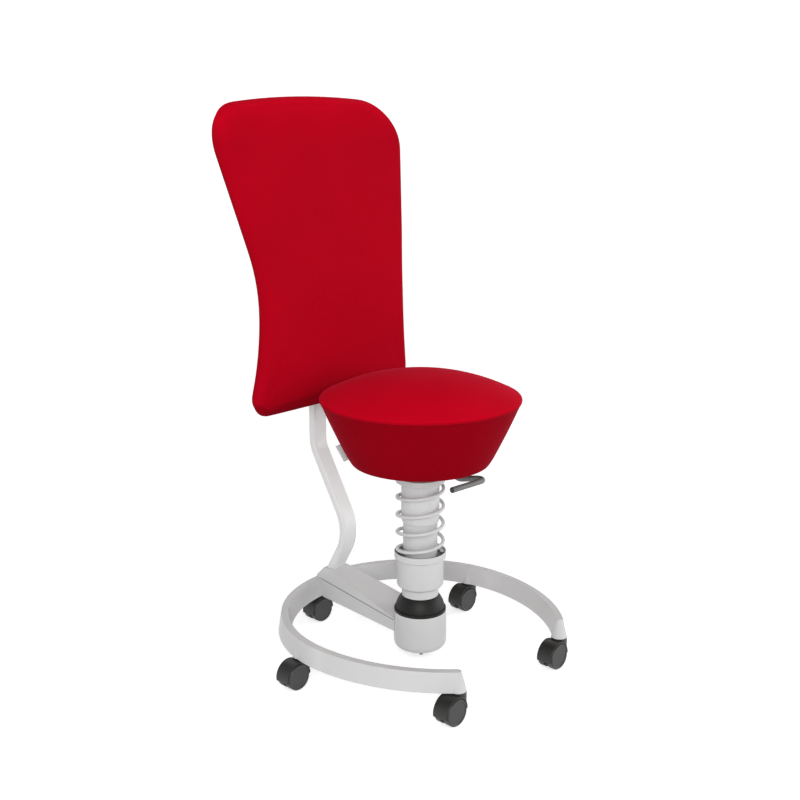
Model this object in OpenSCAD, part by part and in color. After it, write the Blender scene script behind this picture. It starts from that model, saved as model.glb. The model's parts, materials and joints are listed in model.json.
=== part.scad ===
// Balance stool with backrest: a sprung, tilting column on a C-shaped ring with five casters.
// Origin: on the floor, under the middle of the whole stool. Front is -Y, the sitter's right is -X,
// up is +Z. The sub-parts are drawn round the column's axis and moved to the middle as they are placed.

/* [Casters] */
// Diameter of a wheel
wheel_d = 50; // [46:1:54]
// Width of one wheel
wheel_w = 13; // [11:0.5:14]
// Distance from the swivel axis back to the axle
trail = 20; // [18:0.5:22]
// Diameter of the axle
axle_d = 6; // [5:0.5:7]
// Thickness of the web between the two wheels
web_t = 8; // [7:0.5:10]
// Wall of the hood over the wheels
hood_t = 2.4; // [1.8:0.2:3]
// Air between the hood and the wheels
hood_air = 1.2; // [0.8:0.1:2]
// Width of the hood across both wheels
hood_w = 31; // [28:1:33]
// Diameter of the swivel neck under the ring
swivel_d = 31; // [29:1:34]
// Height of the swivel neck above the wheels
swivel_h = 5.6; // [5:0.2:8]
// Diameter of the steel stem
stem_d = 11; // [10:0.5:12]
// Depth of the stem in the ring
stem_in = 24; // [18:1:28]
// Depth of the stem's full diameter in the housing
stem_out = 10; // [9:0.5:11]
// Length of the thinner pin that the stem ends in
stem_pin_l = 9; // [7:0.5:11]

/* [Base ring] */
// Outer radius of the ring's rear half, at the top
ring_rear_r = 258; // [245:1:275]
// Outer radius of each side arm, at the top
ring_side_r = 344; // [325:1:370]
// Distance of the rear half's centre behind the column
ring_back = 16.5; // [12:0.5:22]
// Sweep of each side arm
ring_side_deg = 45.5; // [42:0.5:48]
// Angle of the side casters ahead of straight across
side_caster_deg = 14.3; // [10:0.1:18]
// Width of the ring's top face
ring_top_w = 14; // [12:0.5:18]
// Flare of each side wall towards the floor
ring_flare = 6; // [4:0.5:8]
// Height of the ring
ring_h = 37; // [33:1:42]
// Diameter of a caster boss at its foot
boss_d = 31; // [28:1:34]

/* [Arm and bracket] */
// Width of the arm at the ring
arm_ring_w = 38; // [36.5:0.5:46]
// Width of the arm at the hub
arm_hub_w = 88; // [76:1:96]
// Gap from the top of a caster's hood to the arm's underside
arm_gap = 0.6; // [0.4:0.1:1.2]
// Height of the seam above the floor, at the hub
seam_hub_z = 77; // [72:1:82]
// Thickness of the bracket at the hub
bracket_tip = 2.5; // [2:0.5:5]
// Height of the bracket above the ring, where the bar leaves it
bracket_h = 29.5; // [26:0.5:34]
// Thread diameter of the bracket's bolts
foot_bolt_d = 8; // [6:1:8]

/* [Back bar] */
// Width of the bar
bar_w = 36; // [30:1:36]
// Thickness of the bar
bar_t = 18; // [14:1:20]
// Corner radius of the bar's section
bar_round = 5; // [3:0.5:6]
// Lean of the bar's sloping stretches
bar_lean = 30; // [26:1:33]
// Distance of the bar's foot behind the column
bar_foot_y = 238.5; // [236:0.5:241]
// Height of the bar's foot above the floor
bar_foot_z = 112; // [108:1:116]
// Length of the lower stretch
bar_low = 62; // [56:1:70]
// Length of the middle stretch
bar_mid = 129; // [118:1:140]
// Length of the upright stretch
bar_top = 355; // [325:5:385]
// Bend radius of the forward knee
knee_r = 84; // [70:1:95]
// Bend radius under the backrest
neck_bend_r = 56; // [45:1:70]

/* [Backrest] */
// Height of the backrest's lower edge above the floor
back_bottom = 473; // [460:1:485]
// Height of the backrest's upper edge above the floor
back_top = 1062; // [1040:1:1085]
// Height of the narrowest place above the floor
waist_z = 680; // [660:1:700]
// Width at the narrowest place
waist_w = 380; // [360:2:400]
// Radius of the side's curve below the narrowest place
waist_low_r = 794; // [700:2:900]
// Radius of the side's curve above the narrowest place
waist_up_r = 493; // [440:1:560]
// Outward lean of the straight sides above
side_lean = 11.7; // [10:0.1:13]
// Height that the upper edge rises from its ends to its middle
top_crown = 19; // [12:1:24]
// Radius of the upper corners
corner_top_r = 80; // [65:1:90]
// Radius of the lower corners
corner_low_r = 38; // [30:1:45]
// Height of the lumbar curve's foremost place above the floor
lumbar_z = 655; // [640:1:670]
// Radius of the lumbar curve below that place
lumbar_low_r = 1300; // [1100:10:1600]
// Radius of the lumbar curve above that place
lumbar_up_r = 675; // [600:5:760]
// Backward lean of the upper backrest
back_lean = 12.4; // [10:0.2:14]
// Extra distance that the upper edge curls back
back_curl = 25; // [0:1:30]
// Thickness of the upholstered front half
pad_t = 21; // [18:0.5:24]
// Thickness of the backrest with its shell
panel_t = 38; // [34:0.5:42]
// Width of the rounded edge band, seen from the front
band_w = 17; // [14:0.5:20]
// Crown of the front face
back_crown = 3; // [1:0.5:5]
// Distance from the shell to the upright bar, at the lumbar
carrier_gap = 25.5; // [22:0.5:30]
// Width of the carrier plate
carrier_w = 110; // [100:2:120]
// Height of the carrier plate
carrier_h = 120; // [110:2:124]
// Thread diameter of the carrier's screws
carrier_screw_d = 6; // [5:0.5:8]

/* [Joint hub] */
// Diameter of the hub
hub_d = 102; // [101:0.5:106]
// Diameter of the hub's upper rim
hub_rim_d = 100.6; // [100.2:0.1:101]
// Height of the hub's underside above the floor
hub_z = 20; // [18:0.5:22]
// Height of the tilting centre and of the hub's rim above the floor
joint_z = 95; // [93.5:0.5:97]
// Rounding of the hub's lower edge
hub_round = 14; // [10:1:16]
// Thickness of the hub's floor
hub_floor = 8; // [6:0.5:10]
// Bore of the hub below its ledge
ledge_d = 72; // [70:0.5:74]
// Height of the ledge above the hub's underside
ledge_h = 32; // [30.5:0.5:32]
// Thickness of the yoke's plate
yoke_plate_t = 8; // [6:0.5:8]
// Diameter of the rubber dome
dome_d = 96.4; // [95:0.2:96.6]
// Wall of the rubber dome
dome_t = 5.2; // [4:0.2:5.4]
// Height of the rubber lip on the hub's rim
lip_h = 5.5; // [4:0.5:6.5]
// Diameter of the cross pins
cross_d = 10; // [8:0.5:11]
// Length of each cross pin, end to end
cross_l = 44; // [42:1:46]
// Width of a yoke's ear
ear_w = 20; // [17:0.5:20]
// Thickness of a yoke's ear
ear_t = 10; // [8:0.5:10]
// Diameter of the stiffness knob
knob_d = 44; // [38:1:48]
// Thickness of the stiffness knob
knob_t = 7; // [5:0.5:8]
// Diameter of the knob's threaded shaft
knob_shaft_d = 12; // [10:0.5:14]
// Thickness of the pressure plate
pressure_t = 4; // [3:0.5:5]
// Thickness of the rubber buffer
buffer_t = 11; // [9:0.5:11]
// Diameter of a push rod
rod_d = 5; // [4:0.5:5]

/* [Column] */
// Diameter of the neck
neck_d = 70.8; // [70:0.2:72]
// Diameter of the guide tube
guide_d = 66; // [64:0.5:67]
// Wall of the guide tube
guide_t = 3; // [2.5:0.1:3.5]
// Height of the guide tube's top above the tilting centre
guide_top = 220; // [205:1:222]
// Height of the cup's underside above the tilting centre
cup_up = 49.6; // [46:0.2:54]
// Height of the cup below its collar
cup_h = 59.4; // [54:0.2:64]
// Diameter of the spring cup
cup_d = 90; // [88:0.5:92]
// Wall of the spring cup
cup_t = 3.5; // [3:0.1:4]
// Height of the collar
collar_h = 13; // [11:0.5:15]
// Diameter of the collar
collar_d = 100; // [99.4:0.2:102]
// Wall of the collar
collar_t = 1.4; // [1.2:0.1:1.6]
// Diameter of the guide sleeve
sleeve_d = 73; // [72:0.2:74]
// Height of the sleeve's lower end above the tilting centre
sleeve_low = 182.6; // [175:0.2:188]
// Length of the sleeve up to the cone under its flange
sleeve_l = 71.4; // [66:0.2:76]
// Height of the cone under the flange
cone_h = 7; // [6:0.5:8]
// Thickness of the flange
flange_h = 10.5; // [9:0.5:12]
// Diameter of the flange
flange_d = 94.6; // [93:0.2:96]
// Diameter of the lift tube
lift_d = 50; // [48:0.5:52]
// Diameter of the gas cylinder
gas_d = 28; // [27:0.5:28]
// Height that the gas cylinder stands above the flange
gas_up = 49.5; // [46:0.5:52]
// Length of the gas cylinder
gas_l = 184; // [178:1:190]
// Stroke of the gas cylinder
gas_stroke = 100; // [80:5:100]
// Diameter of the gas rod
gas_rod_d = 10; // [8:0.5:10]
// Travel of the column's spring
bounce = 40; // [30:1:40]

/* [Coil spring] */
// Diameter of the spring's wire
wire_d = 7; // [6:0.2:7.2]
// Outside diameter of the spring
spring_d = 95.2; // [94:0.2:95.6]
// Turns of the spring in all
spring_turns = 4.375; // [3.875:0.125:4.875]
// Turns that lie flat at each end
dead_turns = 0.15; // [0.1:0.01:0.2]
// Direction in which the lower end starts
spring_start = -28; // [-45:1:0]

/* [Seat] */
// Gap from the flange to the seat's underside
seat_gap = 29.5; // [26:0.5:33]
// Radius of the seat at its lower edge
seat_low_r = 132; // [124:1:140]
// Radius of the seat at its rim
seat_rim_r = 190; // [182:1:191]
// Height of the seat's cone
seat_cone_h = 125; // [115:1:135]
// Height of the dome above the rim
seat_dome_h = 45; // [38:1:52]
// Exponent of the dome's curve
dome_power = 2.15; // [2:0.05:2.5]
// Rounding of the seat's edges
seat_round = 4; // [3:0.5:6]
// How far the side is drawn in at half height
seat_draw = 1.2; // [0.5:0.1:2]
// Height of the fabric-covered ring under the board
seat_ring_h = 40; // [38:1:44]
// Diameter of the opening for the seat bracket
seat_hole_d = 190; // [180:2:200]
// Diameter of the seat board
board_d = 250; // [230:2:260]
// Thickness of the seat board
board_t = 12; // [10:0.5:15]
// Size of the bracket's square plate
plate_w = 68; // [68:0.5:76]
// Thickness of the bracket's sheet steel
sheet_t = 4; // [3:0.5:4.5]
// Outside diameter of the bracket's socket
socket_d = 40; // [38:0.5:42]
// Length of the bracket's socket
socket_l = 22; // [20:0.5:24]
// Diameter of the lever's rod
lever_d = 11; // [9:0.5:12]
// Diameter of the lever's pin
lever_pin_d = 6; // [5:0.5:6.5]

/* [Hidden] */
// Names of the five casters, in the order of CASTER_AT
CASTERS = ["rear", "left", "right", "front_left", "front_right"];

// Clearances
seat_fit = 0.3;     // between soft or curved neighbours
run_fit = 0.05;     // radial, round a turning pin or shaft
slide_fit = 0.1;    // radial, in a long guide
swivel_gap = 0.4;   // between a caster's housing and the ring

PAINT = [0.80, 0.80, 0.79];
DARK_PAINT = [0.70, 0.70, 0.70];
BLACK = [0.13, 0.13, 0.12];
STEEL = [0.62, 0.63, 0.65];
RED = [0.66, 0.03, 0.08];
WOOD = [0.72, 0.58, 0.40];
BLACK_RUBBER = [0.10, 0.10, 0.10];

wheel_r = wheel_d / 2;
hood_in_r = wheel_r + hood_air;
hood_out_r = hood_in_r + hood_t;
housing_top = wheel_d + swivel_h;
wheel_gap = 0.5;                       // between a wheel and the web
stem_pin_d = 5;
ring_z = housing_top + swivel_gap;
ring_top = ring_z + ring_h;
ring_mid_r = ring_rear_r - ring_top_w / 2;
side_mid_r = ring_side_r - ring_top_w / 2;
side_centre = ring_side_r - ring_rear_r;
ring_join = 0.5;                       // degrees that a side arm reaches into the rear half
weld_step = 0.05;                      // how much a length is set in, all round, where it enters another
CASTER_AT = [
    [0, ring_back + ring_mid_r],
    [ring_mid_r * cos(side_caster_deg), ring_back + ring_mid_r * sin(side_caster_deg)],
    [-ring_mid_r * cos(side_caster_deg), ring_back + ring_mid_r * sin(side_caster_deg)],
    [side_mid_r * cos(ring_side_deg) - side_centre, ring_back - side_mid_r * sin(ring_side_deg)],
    [side_centre - side_mid_r * cos(ring_side_deg), ring_back - side_mid_r * sin(ring_side_deg)]];

// The rear half's inner wall, where the arm and the bracket meet it
ring_in_r = ring_rear_r - ring_top_w;
arm_end_y = ring_back + ring_in_r;
hub_r = hub_d / 2;
arm_z = wheel_r + hood_out_r + arm_gap;
arm_tip_y = hub_r * 0.55;
bracket_end_y = arm_end_y + ring_top_w * 0.7;

// The bar's path, from its foot to its upright stretch
knee_y = bar_foot_y - bar_low * sin(bar_lean) - knee_r * (1 - cos(bar_lean));
bar_y = knee_y + knee_r * (1 - cos(bar_lean)) + bar_mid * sin(bar_lean)
        + neck_bend_r * (1 - cos(bar_lean));
bar_straight_z = bar_foot_z + bar_low * cos(bar_lean) + 2 * knee_r * sin(bar_lean)
        + bar_mid * cos(bar_lean) + neck_bend_r * sin(bar_lean);
bar_end_z = bar_straight_z + bar_top;
bar_wall = 2.5;
curl_h = 112;                          // height over which the backrest curls back
shell_rim_t = 8;                       // thickness of the shell at its rim
shell_rim_in = 6;                      // how far the shell's rim stays inside the cushion's edge
shell_in = 13;                         // how far the shell's back stays inside it
cap_t = 3;
bar_join = 0.5;                        // the bar's lengths and bends reach into each other

// The backrest hangs from the bar through the carrier
lumbar_y = bar_y - bar_t / 2 - carrier_gap - panel_t;
lumbar_end_z = lumbar_z + lumbar_up_r * sin(back_lean);
waist_end_z = waist_z + waist_up_r * sin(side_lean);
carrier_z = lumbar_z + 15;
carrier_t = 4;
carrier_bolt_z = 32;                   // above and below the carrier's middle
carrier_bolt_x = 44;
head_k = 0.6;                          // height of a screw's head over its thread diameter

// The joint
hub_bore_d = dome_d + 2 * seat_fit;
plate_z = hub_z + ledge_h;
plate_top = plate_z + yoke_plate_t;
pressure_z = plate_z - 18;
rod_at = ledge_d / 2 - rod_d / 2 - 0.5;
buffer_in_r = 28;
buffer_out_r = rod_at + 4;
yoke_floor = joint_z + 19;
skirt_z = joint_z - 7;
skirt_in_r = 27;
skirt_out_r = 40;
yoke_screw_at = (ledge_d / 2 + hub_bore_d / 2) / 2;
yoke_screw_d = 5;
knob_gap = 0.5;

// The column
cup_z = joint_z + cup_up;
cup_floor = 9;
neck_step = 0.9;
neck_top = cup_z + 36;
seat_z = cup_z + cup_h;                // shoulder that carries the spring
washer_t = 1.2;
flange_z = joint_z + sleeve_low + sleeve_l + cone_h;
flange_top = flange_z + flange_h;
guide_z = yoke_floor + 4;
guide_end = joint_z + guide_top;
sleeve_z = joint_z + sleeve_low;
bush_t = 1.5;
bush_in_r = guide_d / 2 + slide_fit;
sleeve_in_r = bush_in_r + bush_t;
roof_z = flange_top - 6;
lift_t = 3;
lift_z = guide_z + bounce + 14;
gas_top = flange_top + gas_up;
gas_z = gas_top - gas_l;
gas_t = 3;
gas_gland = 8;
gas_bush_l = 66;
piston_z = gas_z + gas_gland + gas_stroke + 2;
piston_h = 10;
pin_d = 8;
clip_t = 2;
pin_up = 5;

// The spring
wire_r = wire_d / 2;
coil_r = spring_d / 2 - wire_r;
RINGS_PER_TURN = 8;
WIRE_SIDES = 6;
coil_low = seat_z + washer_t + seat_fit + wire_r;
coil_high = flange_z - seat_fit - wire_r;
active_turns = spring_turns - 2 * dead_turns;
stop_t = 5;

// The seat
seat_z0 = flange_top + seat_gap;
seat_rim_z = seat_z0 + seat_cone_h;
seat_top = seat_rim_z + seat_dome_h;
board_z = seat_z0 + seat_ring_h;
plate_low = board_z - sheet_t;
socket_z = gas_top - socket_l;
web_x = socket_d / 2 + sheet_t / 2;
lever_pin_y = -34;
tongue_gap = 0.3;
tongue_t = 3;
tongue_w = 14;
lever_boss_d = 12;
lever_pin_z = gas_top + pin_up + tongue_gap + tongue_t / 2;
seat_screw_at = plate_w / 2 - 4.5;
seat_screw_d = 5;

// The column's axis is off the middle of the stool's floor area, since the casters trail to one side
// and the backrest leans out behind
low_x = -ring_mid_r * cos(side_caster_deg) - trail - hood_out_r;
high_x = ring_rear_r + ring_flare;
low_y = ring_back - side_mid_r * sin(ring_side_deg) - web_t / 2 - wheel_gap - wheel_w;
high_y = face_y(back_top - shell_in) + panel_t;
MIDDLE = [(low_x + high_x) / 2, (low_y + high_y) / 2];

// Rectangle with its corners rounded in three facets, width along X
module round_rect(w, h, r) {
    polygon([for (q = [0:3], a = [0:30:90])
        let (sx = q == 0 || q == 3 ? 1 : -1, sy = q < 2 ? 1 : -1)
        [sx * (w / 2 - r) + r * cos(90 * q + a), sy * (h / 2 - r) + r * sin(90 * q + a)]]);
}

// Extrudes an outline of the Y-Z plane along X, centred
module along_x(w) {
    rotate([90, 0, 90])
        linear_extrude(w, center = true)
            children();
}

// Hex socket screw: head on top at the origin, shank down
module cap_screw(d, l, head = head_k) {
    difference() {
        cylinder(d = d * 1.6, h = d * head, $fn = 48);
        translate([0, 0, d * head * 0.45])
            cylinder(d = d * 0.9, h = d, $fn = 6);
    }
    translate([0, 0, -l])
        cylinder(d = d, h = l + 0.01, $fn = 48);
}

// Trapezoid of the ring's section, standing on its foot, round its middle radius
module ring_section(mid_r, slim = 0) {
    t = ring_top_w / 2 - slim;
    z0 = ring_z + slim;
    z1 = ring_top - slim;
    polygon([[mid_r - t - ring_flare, z0], [mid_r + t + ring_flare, z0], [mid_r + t, z1], [mid_r - t, z1]]);
}

module caster_boss() {
    translate([0, 0, ring_z])
        cylinder(d1 = boss_d, d2 = ring_top_w - 2, h = ring_h, $fn = 64);
}

module base_ring() {
    color(PAINT)
    difference() {
        union() {
            translate([0, ring_back])
                rotate_extrude(angle = 180, $fn = 180)
                    ring_section(ring_mid_r);
            for (side = [0, 1])
                mirror([side, 0])
                    translate([-side_centre, ring_back])
                        rotate([0, 0, -ring_side_deg])
                            rotate_extrude(angle = ring_side_deg + ring_join, $fn = 240)
                                ring_section(side_mid_r, weld_step);
            for (p = CASTER_AT)
                translate(p)
                    caster_boss();
        }
        for (p = CASTER_AT)
            translate([p.x, p.y, ring_z - 1])
                cylinder(d = stem_d, h = stem_in + 1, $fn = 48);
    }
}

// Half width of the arm and of the bracket at a distance behind the column
function arm_half(y) =
    (arm_ring_w + (arm_hub_w - arm_ring_w) * (arm_end_y - y) / (arm_end_y - arm_tip_y)) / 2;

module arm_plan(y_end) {
    polygon([[-arm_half(arm_tip_y), arm_tip_y], [arm_half(arm_tip_y), arm_tip_y],
             [arm_half(arm_end_y), arm_end_y], [arm_half(arm_end_y), y_end],
             [-arm_half(arm_end_y), y_end], [-arm_half(arm_end_y), arm_end_y]]);
}

// Space inside the rear half's sloping inner wall
module inside_ring() {
    slope = ring_flare / ring_h;
    translate([0, ring_back, arm_z - 1])
        cylinder(r1 = ring_in_r - slope * (ring_top - arm_z + 1), r2 = ring_in_r,
                 h = ring_top - arm_z + 1, $fn = 180);
}

module foot_bolt_at() {
    for (k = [0.55, 0.86])
        translate([0, arm_tip_y + k * (arm_end_y - arm_tip_y)])
            children();
}

module base_arm() {
    color(PAINT)
    difference() {
        intersection() {
            along_x(arm_hub_w + 2)
                polygon([[arm_tip_y, arm_z], [arm_end_y, arm_z], [arm_end_y, ring_top],
                         [arm_tip_y, seam_hub_z]]);
            linear_extrude(ring_top)
                arm_plan(arm_end_y);
            inside_ring();
        }
        translate(CASTER_AT[0]) {
            caster_boss();
            cylinder(d = swivel_d + 2, h = ring_z, $fn = 64);
        }
        cylinder(d = hub_d, h = joint_z, $fn = 120);
        foot_bolt_at()
            translate([0, 0, arm_z - 1])
                cylinder(d = foot_bolt_d * 1.6 + 1, h = foot_bolt_d + 1, $fn = 48);
        foot_bolt_at()
            cylinder(d = foot_bolt_d, h = ring_top + 1, $fn = 48);
    }
}

module bar_foot() {
    bend_y = bar_foot_y - (ring_top + bracket_h - bar_foot_z) * tan(bar_lean);
    front_y = bend_y - bar_t / 2 / cos(bar_lean);
    rear_y = bend_y + bar_t / 2 / cos(bar_lean) + bar_wall + 1;
    color(PAINT)
    difference() {
        intersection() {
            along_x(arm_hub_w + 2)
                polygon([[arm_tip_y, seam_hub_z], [arm_end_y, ring_top],
                         [bracket_end_y, ring_top], [bracket_end_y, ring_top + 6],
                         [rear_y, ring_top + bracket_h - 1], [front_y, ring_top + bracket_h],
                         [arm_tip_y, seam_hub_z + bracket_tip]]);
            linear_extrude(ring_top + bracket_h)
                arm_plan(bracket_end_y);
        }
        cylinder(d = hub_d, h = joint_z + 10, $fn = 120);
        bar_from_foot()
            translate([0, 0, -bar_join])
                linear_extrude(bar_low + bar_join)
                    bar_outline();
        foot_bolt_at()
            cylinder(d = foot_bolt_d, h = ring_top + 2, $fn = 48);
    }
}

module foot_bolts() {
    color(STEEL)
    foot_bolt_at()
        translate([0, 0, arm_z + foot_bolt_d])
            mirror([0, 0, 1])
                cap_screw(foot_bolt_d, ring_top + 2 - arm_z - foot_bolt_d, 0.9);
}

module bar_outline() {
    round_rect(bar_w, bar_t, bar_round);
}

// Puts its children at the bar's foot, with Z along the first stretch
module bar_from_foot() {
    translate([0, bar_foot_y, bar_foot_z])
        rotate([bar_lean, 0, 0])
            children();
}

// Straight stretch along Z, with what follows it
module stretch(l) {
    translate([0, 0, -bar_join])
        linear_extrude(l + 2 * bar_join)
            bar_outline();
    translate([0, 0, l])
        children();
}

// Bend of the bar towards +Y (side = 1) or -Y (side = -1), with what follows it. It is a hair slimmer
// than the straight stretches, as a drawn bend is.
module bend(r, deg, side) {
    mirror([0, side > 0 ? 0 : 1, 0])
        translate([0, r, 0])
            rotate([90, 0, 90])
                rotate([0, 0, 180 - deg])
                    rotate_extrude(angle = deg, $fn = 120)
                        translate([r, 0])
                            round_rect(bar_t - 2 * weld_step, bar_w - 2 * weld_step, bar_round - weld_step);
    translate([0, side * r * (1 - cos(deg)), r * sin(deg)])
        rotate([-side * deg, 0, 0])
            children();
}

module back_bar() {
    color(PAINT)
    difference() {
        bar_from_foot()
            stretch(bar_low)
                bend(knee_r, 2 * bar_lean, 1)
                    stretch(bar_mid)
                        bend(neck_bend_r, bar_lean, -1)
                            stretch(bar_top - bar_join);
        translate([0, bar_y, bar_end_z - 20])
            linear_extrude(21)
                round_rect(bar_w - 2 * bar_wall, bar_t - 2 * bar_wall, bar_round - bar_wall + 0.5);
        bar_bolt_at()
            cylinder(d = carrier_screw_d + 2, h = bar_t + 2, center = true, $fn = 48);
    }
}

module bar_cap() {
    color(BLACK) {
        translate([0, bar_y, bar_end_z])
            linear_extrude(cap_t)
                bar_outline();
        translate([0, bar_y, bar_end_z - 12])
            linear_extrude(12)
                round_rect(bar_w - 2 * bar_wall - 2 * run_fit, bar_t - 2 * bar_wall - 2 * run_fit,
                           bar_round - bar_wall + 0.4);
    }
}

// The two bolts through the upright bar, with Z pointing back
module bar_bolt_at() {
    for (s = [-1, 1])
        translate([0, bar_y, carrier_z + s * carrier_bolt_z])
            rotate([-90, 0, 0])
                children();
}

module bar_bolts() {
    color(STEEL)
    bar_bolt_at()
        translate([0, 0, bar_t / 2])
            cap_screw(carrier_screw_d + 2, bar_t + carrier_gap - carrier_t - 6);
}

// Distance of the backrest's front face behind the column, at a height
function face_y(z) =
    z < lumbar_z ? lumbar_y + pow(lumbar_z - z, 2) / (2 * lumbar_low_r)
    : z < lumbar_end_z ? lumbar_y + lumbar_up_r - sqrt(pow(lumbar_up_r, 2) - pow(z - lumbar_z, 2))
    : lumbar_y + lumbar_up_r * (1 - cos(back_lean)) + (z - lumbar_end_z) * tan(back_lean)
      + back_curl * pow(max(0, (z - back_top + curl_h) / curl_h), 2);

// Half width of the backrest at a height, before its corners
function half_w(z) =
    z < waist_z ? waist_w / 2 + pow(waist_z - z, 2) / (2 * waist_low_r)
    : z < waist_end_z ? waist_w / 2 + waist_up_r - sqrt(pow(waist_up_r, 2) - pow(z - waist_z, 2))
    : waist_w / 2 + waist_up_r * (1 - cos(side_lean)) + (z - waist_end_z) * tan(side_lean);

// Upper edge: its height and its slope at a distance from the middle
function top_z(x) = back_top - top_crown * pow(x / half_w(back_top), 2);
function top_slope(x) = atan(2 * top_crown * x / pow(half_w(back_top), 2));

// Centre of the upper corner's arc and the slope where it meets the upper edge, found in a few steps
function corner_top(step) =
    let (last = step == 0 ? [0, back_top - corner_top_r, 0] : corner_top(step - 1),
         x = half_w(last[1]) - corner_top_r / cos(side_lean),
         a = top_slope(x + corner_top_r * sin(last[2])))
    [x, top_z(x + corner_top_r * sin(a)) - corner_top_r * cos(a), a];

// Right half of the outline, from the bottom's middle up to the top's middle, drawn in by d
SIDE_STEPS = 13;
CORNER_STEPS = 6;
function low_lean() = atan((waist_z - back_bottom - corner_low_r) / waist_low_r);
function half_outline(d) =
    let (zl = back_bottom + corner_low_r,
         xl = half_w(zl) - corner_low_r / cos(low_lean()),
         top = corner_top(5), xt = top[0], zt = top[1], a_end = 90 - top[2])
    concat(
        [for (i = [1:CORNER_STEPS])
            let (a = -90 + (90 + low_lean()) * i / CORNER_STEPS)
            [xl + (corner_low_r - d) * cos(a), zl + (corner_low_r - d) * sin(a)]],
        [for (i = [1:SIDE_STEPS])
            let (z0 = zl + corner_low_r * sin(low_lean()),
                 z1 = zt - corner_top_r * sin(side_lean),
                 z = z0 + (z1 - z0) * i / (SIDE_STEPS + 1))
            [half_w(z) - d, z]],
        [for (i = [0:CORNER_STEPS])
            let (a = -side_lean + (a_end + side_lean) * i / CORNER_STEPS)
            [xt + (corner_top_r - d) * cos(a), zt + (corner_top_r - d) * sin(a)]]);
function bottom_edge(d) =
    let (x = half_outline(d)[0].x)
    [for (k = [-3:3]) [x * k / 4, back_bottom + d]];
function top_edge(d) =
    let (x = half_outline(d)[len(half_outline(d)) - 1].x)
    [for (k = [3:-1:-3]) [x * k / 4, top_z(x * k / 4) - d]];
// The whole outline, counter-clockwise as seen from the front
function back_outline(d) =
    let (h = half_outline(d), n = len(h))
    concat(bottom_edge(d), h, top_edge(d), [for (i = [n - 1:-1:0]) [-h[i].x, h[i].y]]);

// Slab between two depths behind the front face, over the whole height
FACE_STEPS = 24;
module face_slab(d0, d1, w) {
    zs = [for (i = [0:FACE_STEPS])
        back_bottom - 5 + (back_top - back_bottom + 10) * i / FACE_STEPS];
    along_x(w)
        polygon(concat([for (z = zs) [face_y(z) + d0, z]],
                       [for (i = [FACE_STEPS:-1:0]) [face_y(zs[i]) + d1, zs[i]]]));
}

// Upholstered front half: rings of the outline, drawn in towards the crowned face
module back_cushion() {
    quarter = [for (a = [0:22.5:90])
        [band_w * (1 - cos(a)), pad_t - 1 - (pad_t - 3.5) * sin(a)]];
    rim = concat([[2.5, pad_t]], quarter);
    shrink = [0.86, 0.6, 0.3];
    mid_z = (back_bottom + back_top) / 2;
    face = back_outline(band_w);
    rings = concat(
        [for (q = rim) [for (p = back_outline(q[0])) [p.x, face_y(p.y) + q[1], p.y]]],
        [for (s = shrink) [for (p = face)
            let (z = mid_z + (p.y - mid_z) * s)
            [p.x * s, face_y(z) + 2.5 - back_crown * (1 - s * s), z]]]);
    n = len(face);
    m = len(rings);
    b = len(bottom_edge(0));
    h = len(half_outline(0));
    points = concat([for (r = rings) for (p = r) p],
                    [[0, face_y(mid_z) + 2.5 - back_crown, mid_z]]);
    faces = concat(
        [for (i = [0:m - 2], j = [0:n - 1])
            let (k = (j + 1) % n)
            each [[i * n + j, (i + 1) * n + j, i * n + k],
                  [i * n + k, (i + 1) * n + j, (i + 1) * n + k]]],
        [for (j = [0:n - 1]) [(m - 1) * n + j, m * n, (m - 1) * n + (j + 1) % n]],
        [for (j = [0:b - 2]) [j, j + 1, b]],
        [[b, n - 1, 0]],
        [for (j = [b:b + h - 2])
            let (k = n + b - j - 1)
            each [[j, j + 1, k - 1], [j, k - 1, k]]],
        [for (j = [b + h:b + h + b - 1]) [b + h - 1, j, j + 1]]);
    color(RED)
        polyhedron(points, faces, convexity = 4);
}

// Slab between two depths behind the front face, drawn in from the edge by d
module shell_layer(d0, d1, d) {
    intersection() {
        rotate([90, 0, 0])
            translate([0, 0, -lumbar_y - 250])
                linear_extrude(300)
                    polygon(back_outline(d));
        face_slab(d0, d1, 2 * half_w(back_top) + 10);
    }
}

module back_shell() {
    color(RED)
    difference() {
        union() {
            shell_layer(pad_t + seat_fit, pad_t + seat_fit + shell_rim_t, shell_rim_in);
            shell_layer(pad_t + seat_fit + 1, panel_t, shell_in);
        }
        carrier_screw_at()
            cylinder(d = carrier_screw_d, h = 14, $fn = 48);
    }
}

// The four screws of the carrier plate, with Z pointing into the shell
module carrier_screw_at() {
    for (x = [-1, 1], s = [-1, 1])
        let (z = carrier_z + s * carrier_bolt_z * 1.35)
        translate([x * carrier_bolt_x, face_y(z) + panel_t + 1, z])
            rotate([90, 0, 0])
                children();
}

module back_carrier() {
    color(BLACK)
    difference() {
        intersection() {
            union() {
                face_slab(panel_t, panel_t + carrier_t, carrier_w);
                intersection() {
                    face_slab(panel_t, panel_t + carrier_gap + 30, bar_w + 14);
                    translate([0, 0, carrier_z])
                        cube([bar_w + 14, 2 * (bar_y - bar_t / 2), carrier_h], center = true);
                }
            }
            translate([0, bar_y, carrier_z])
                cube([carrier_w, 300, carrier_h], center = true);
        }
        carrier_screw_at()
            cylinder(d = carrier_screw_d, h = 30, center = true, $fn = 48);
        bar_bolt_at()
            translate([0, 0, -bar_t / 2 - carrier_gap + carrier_t + 6])
                cylinder(d = carrier_screw_d + 2, h = carrier_gap, $fn = 48);
    }
}

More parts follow.
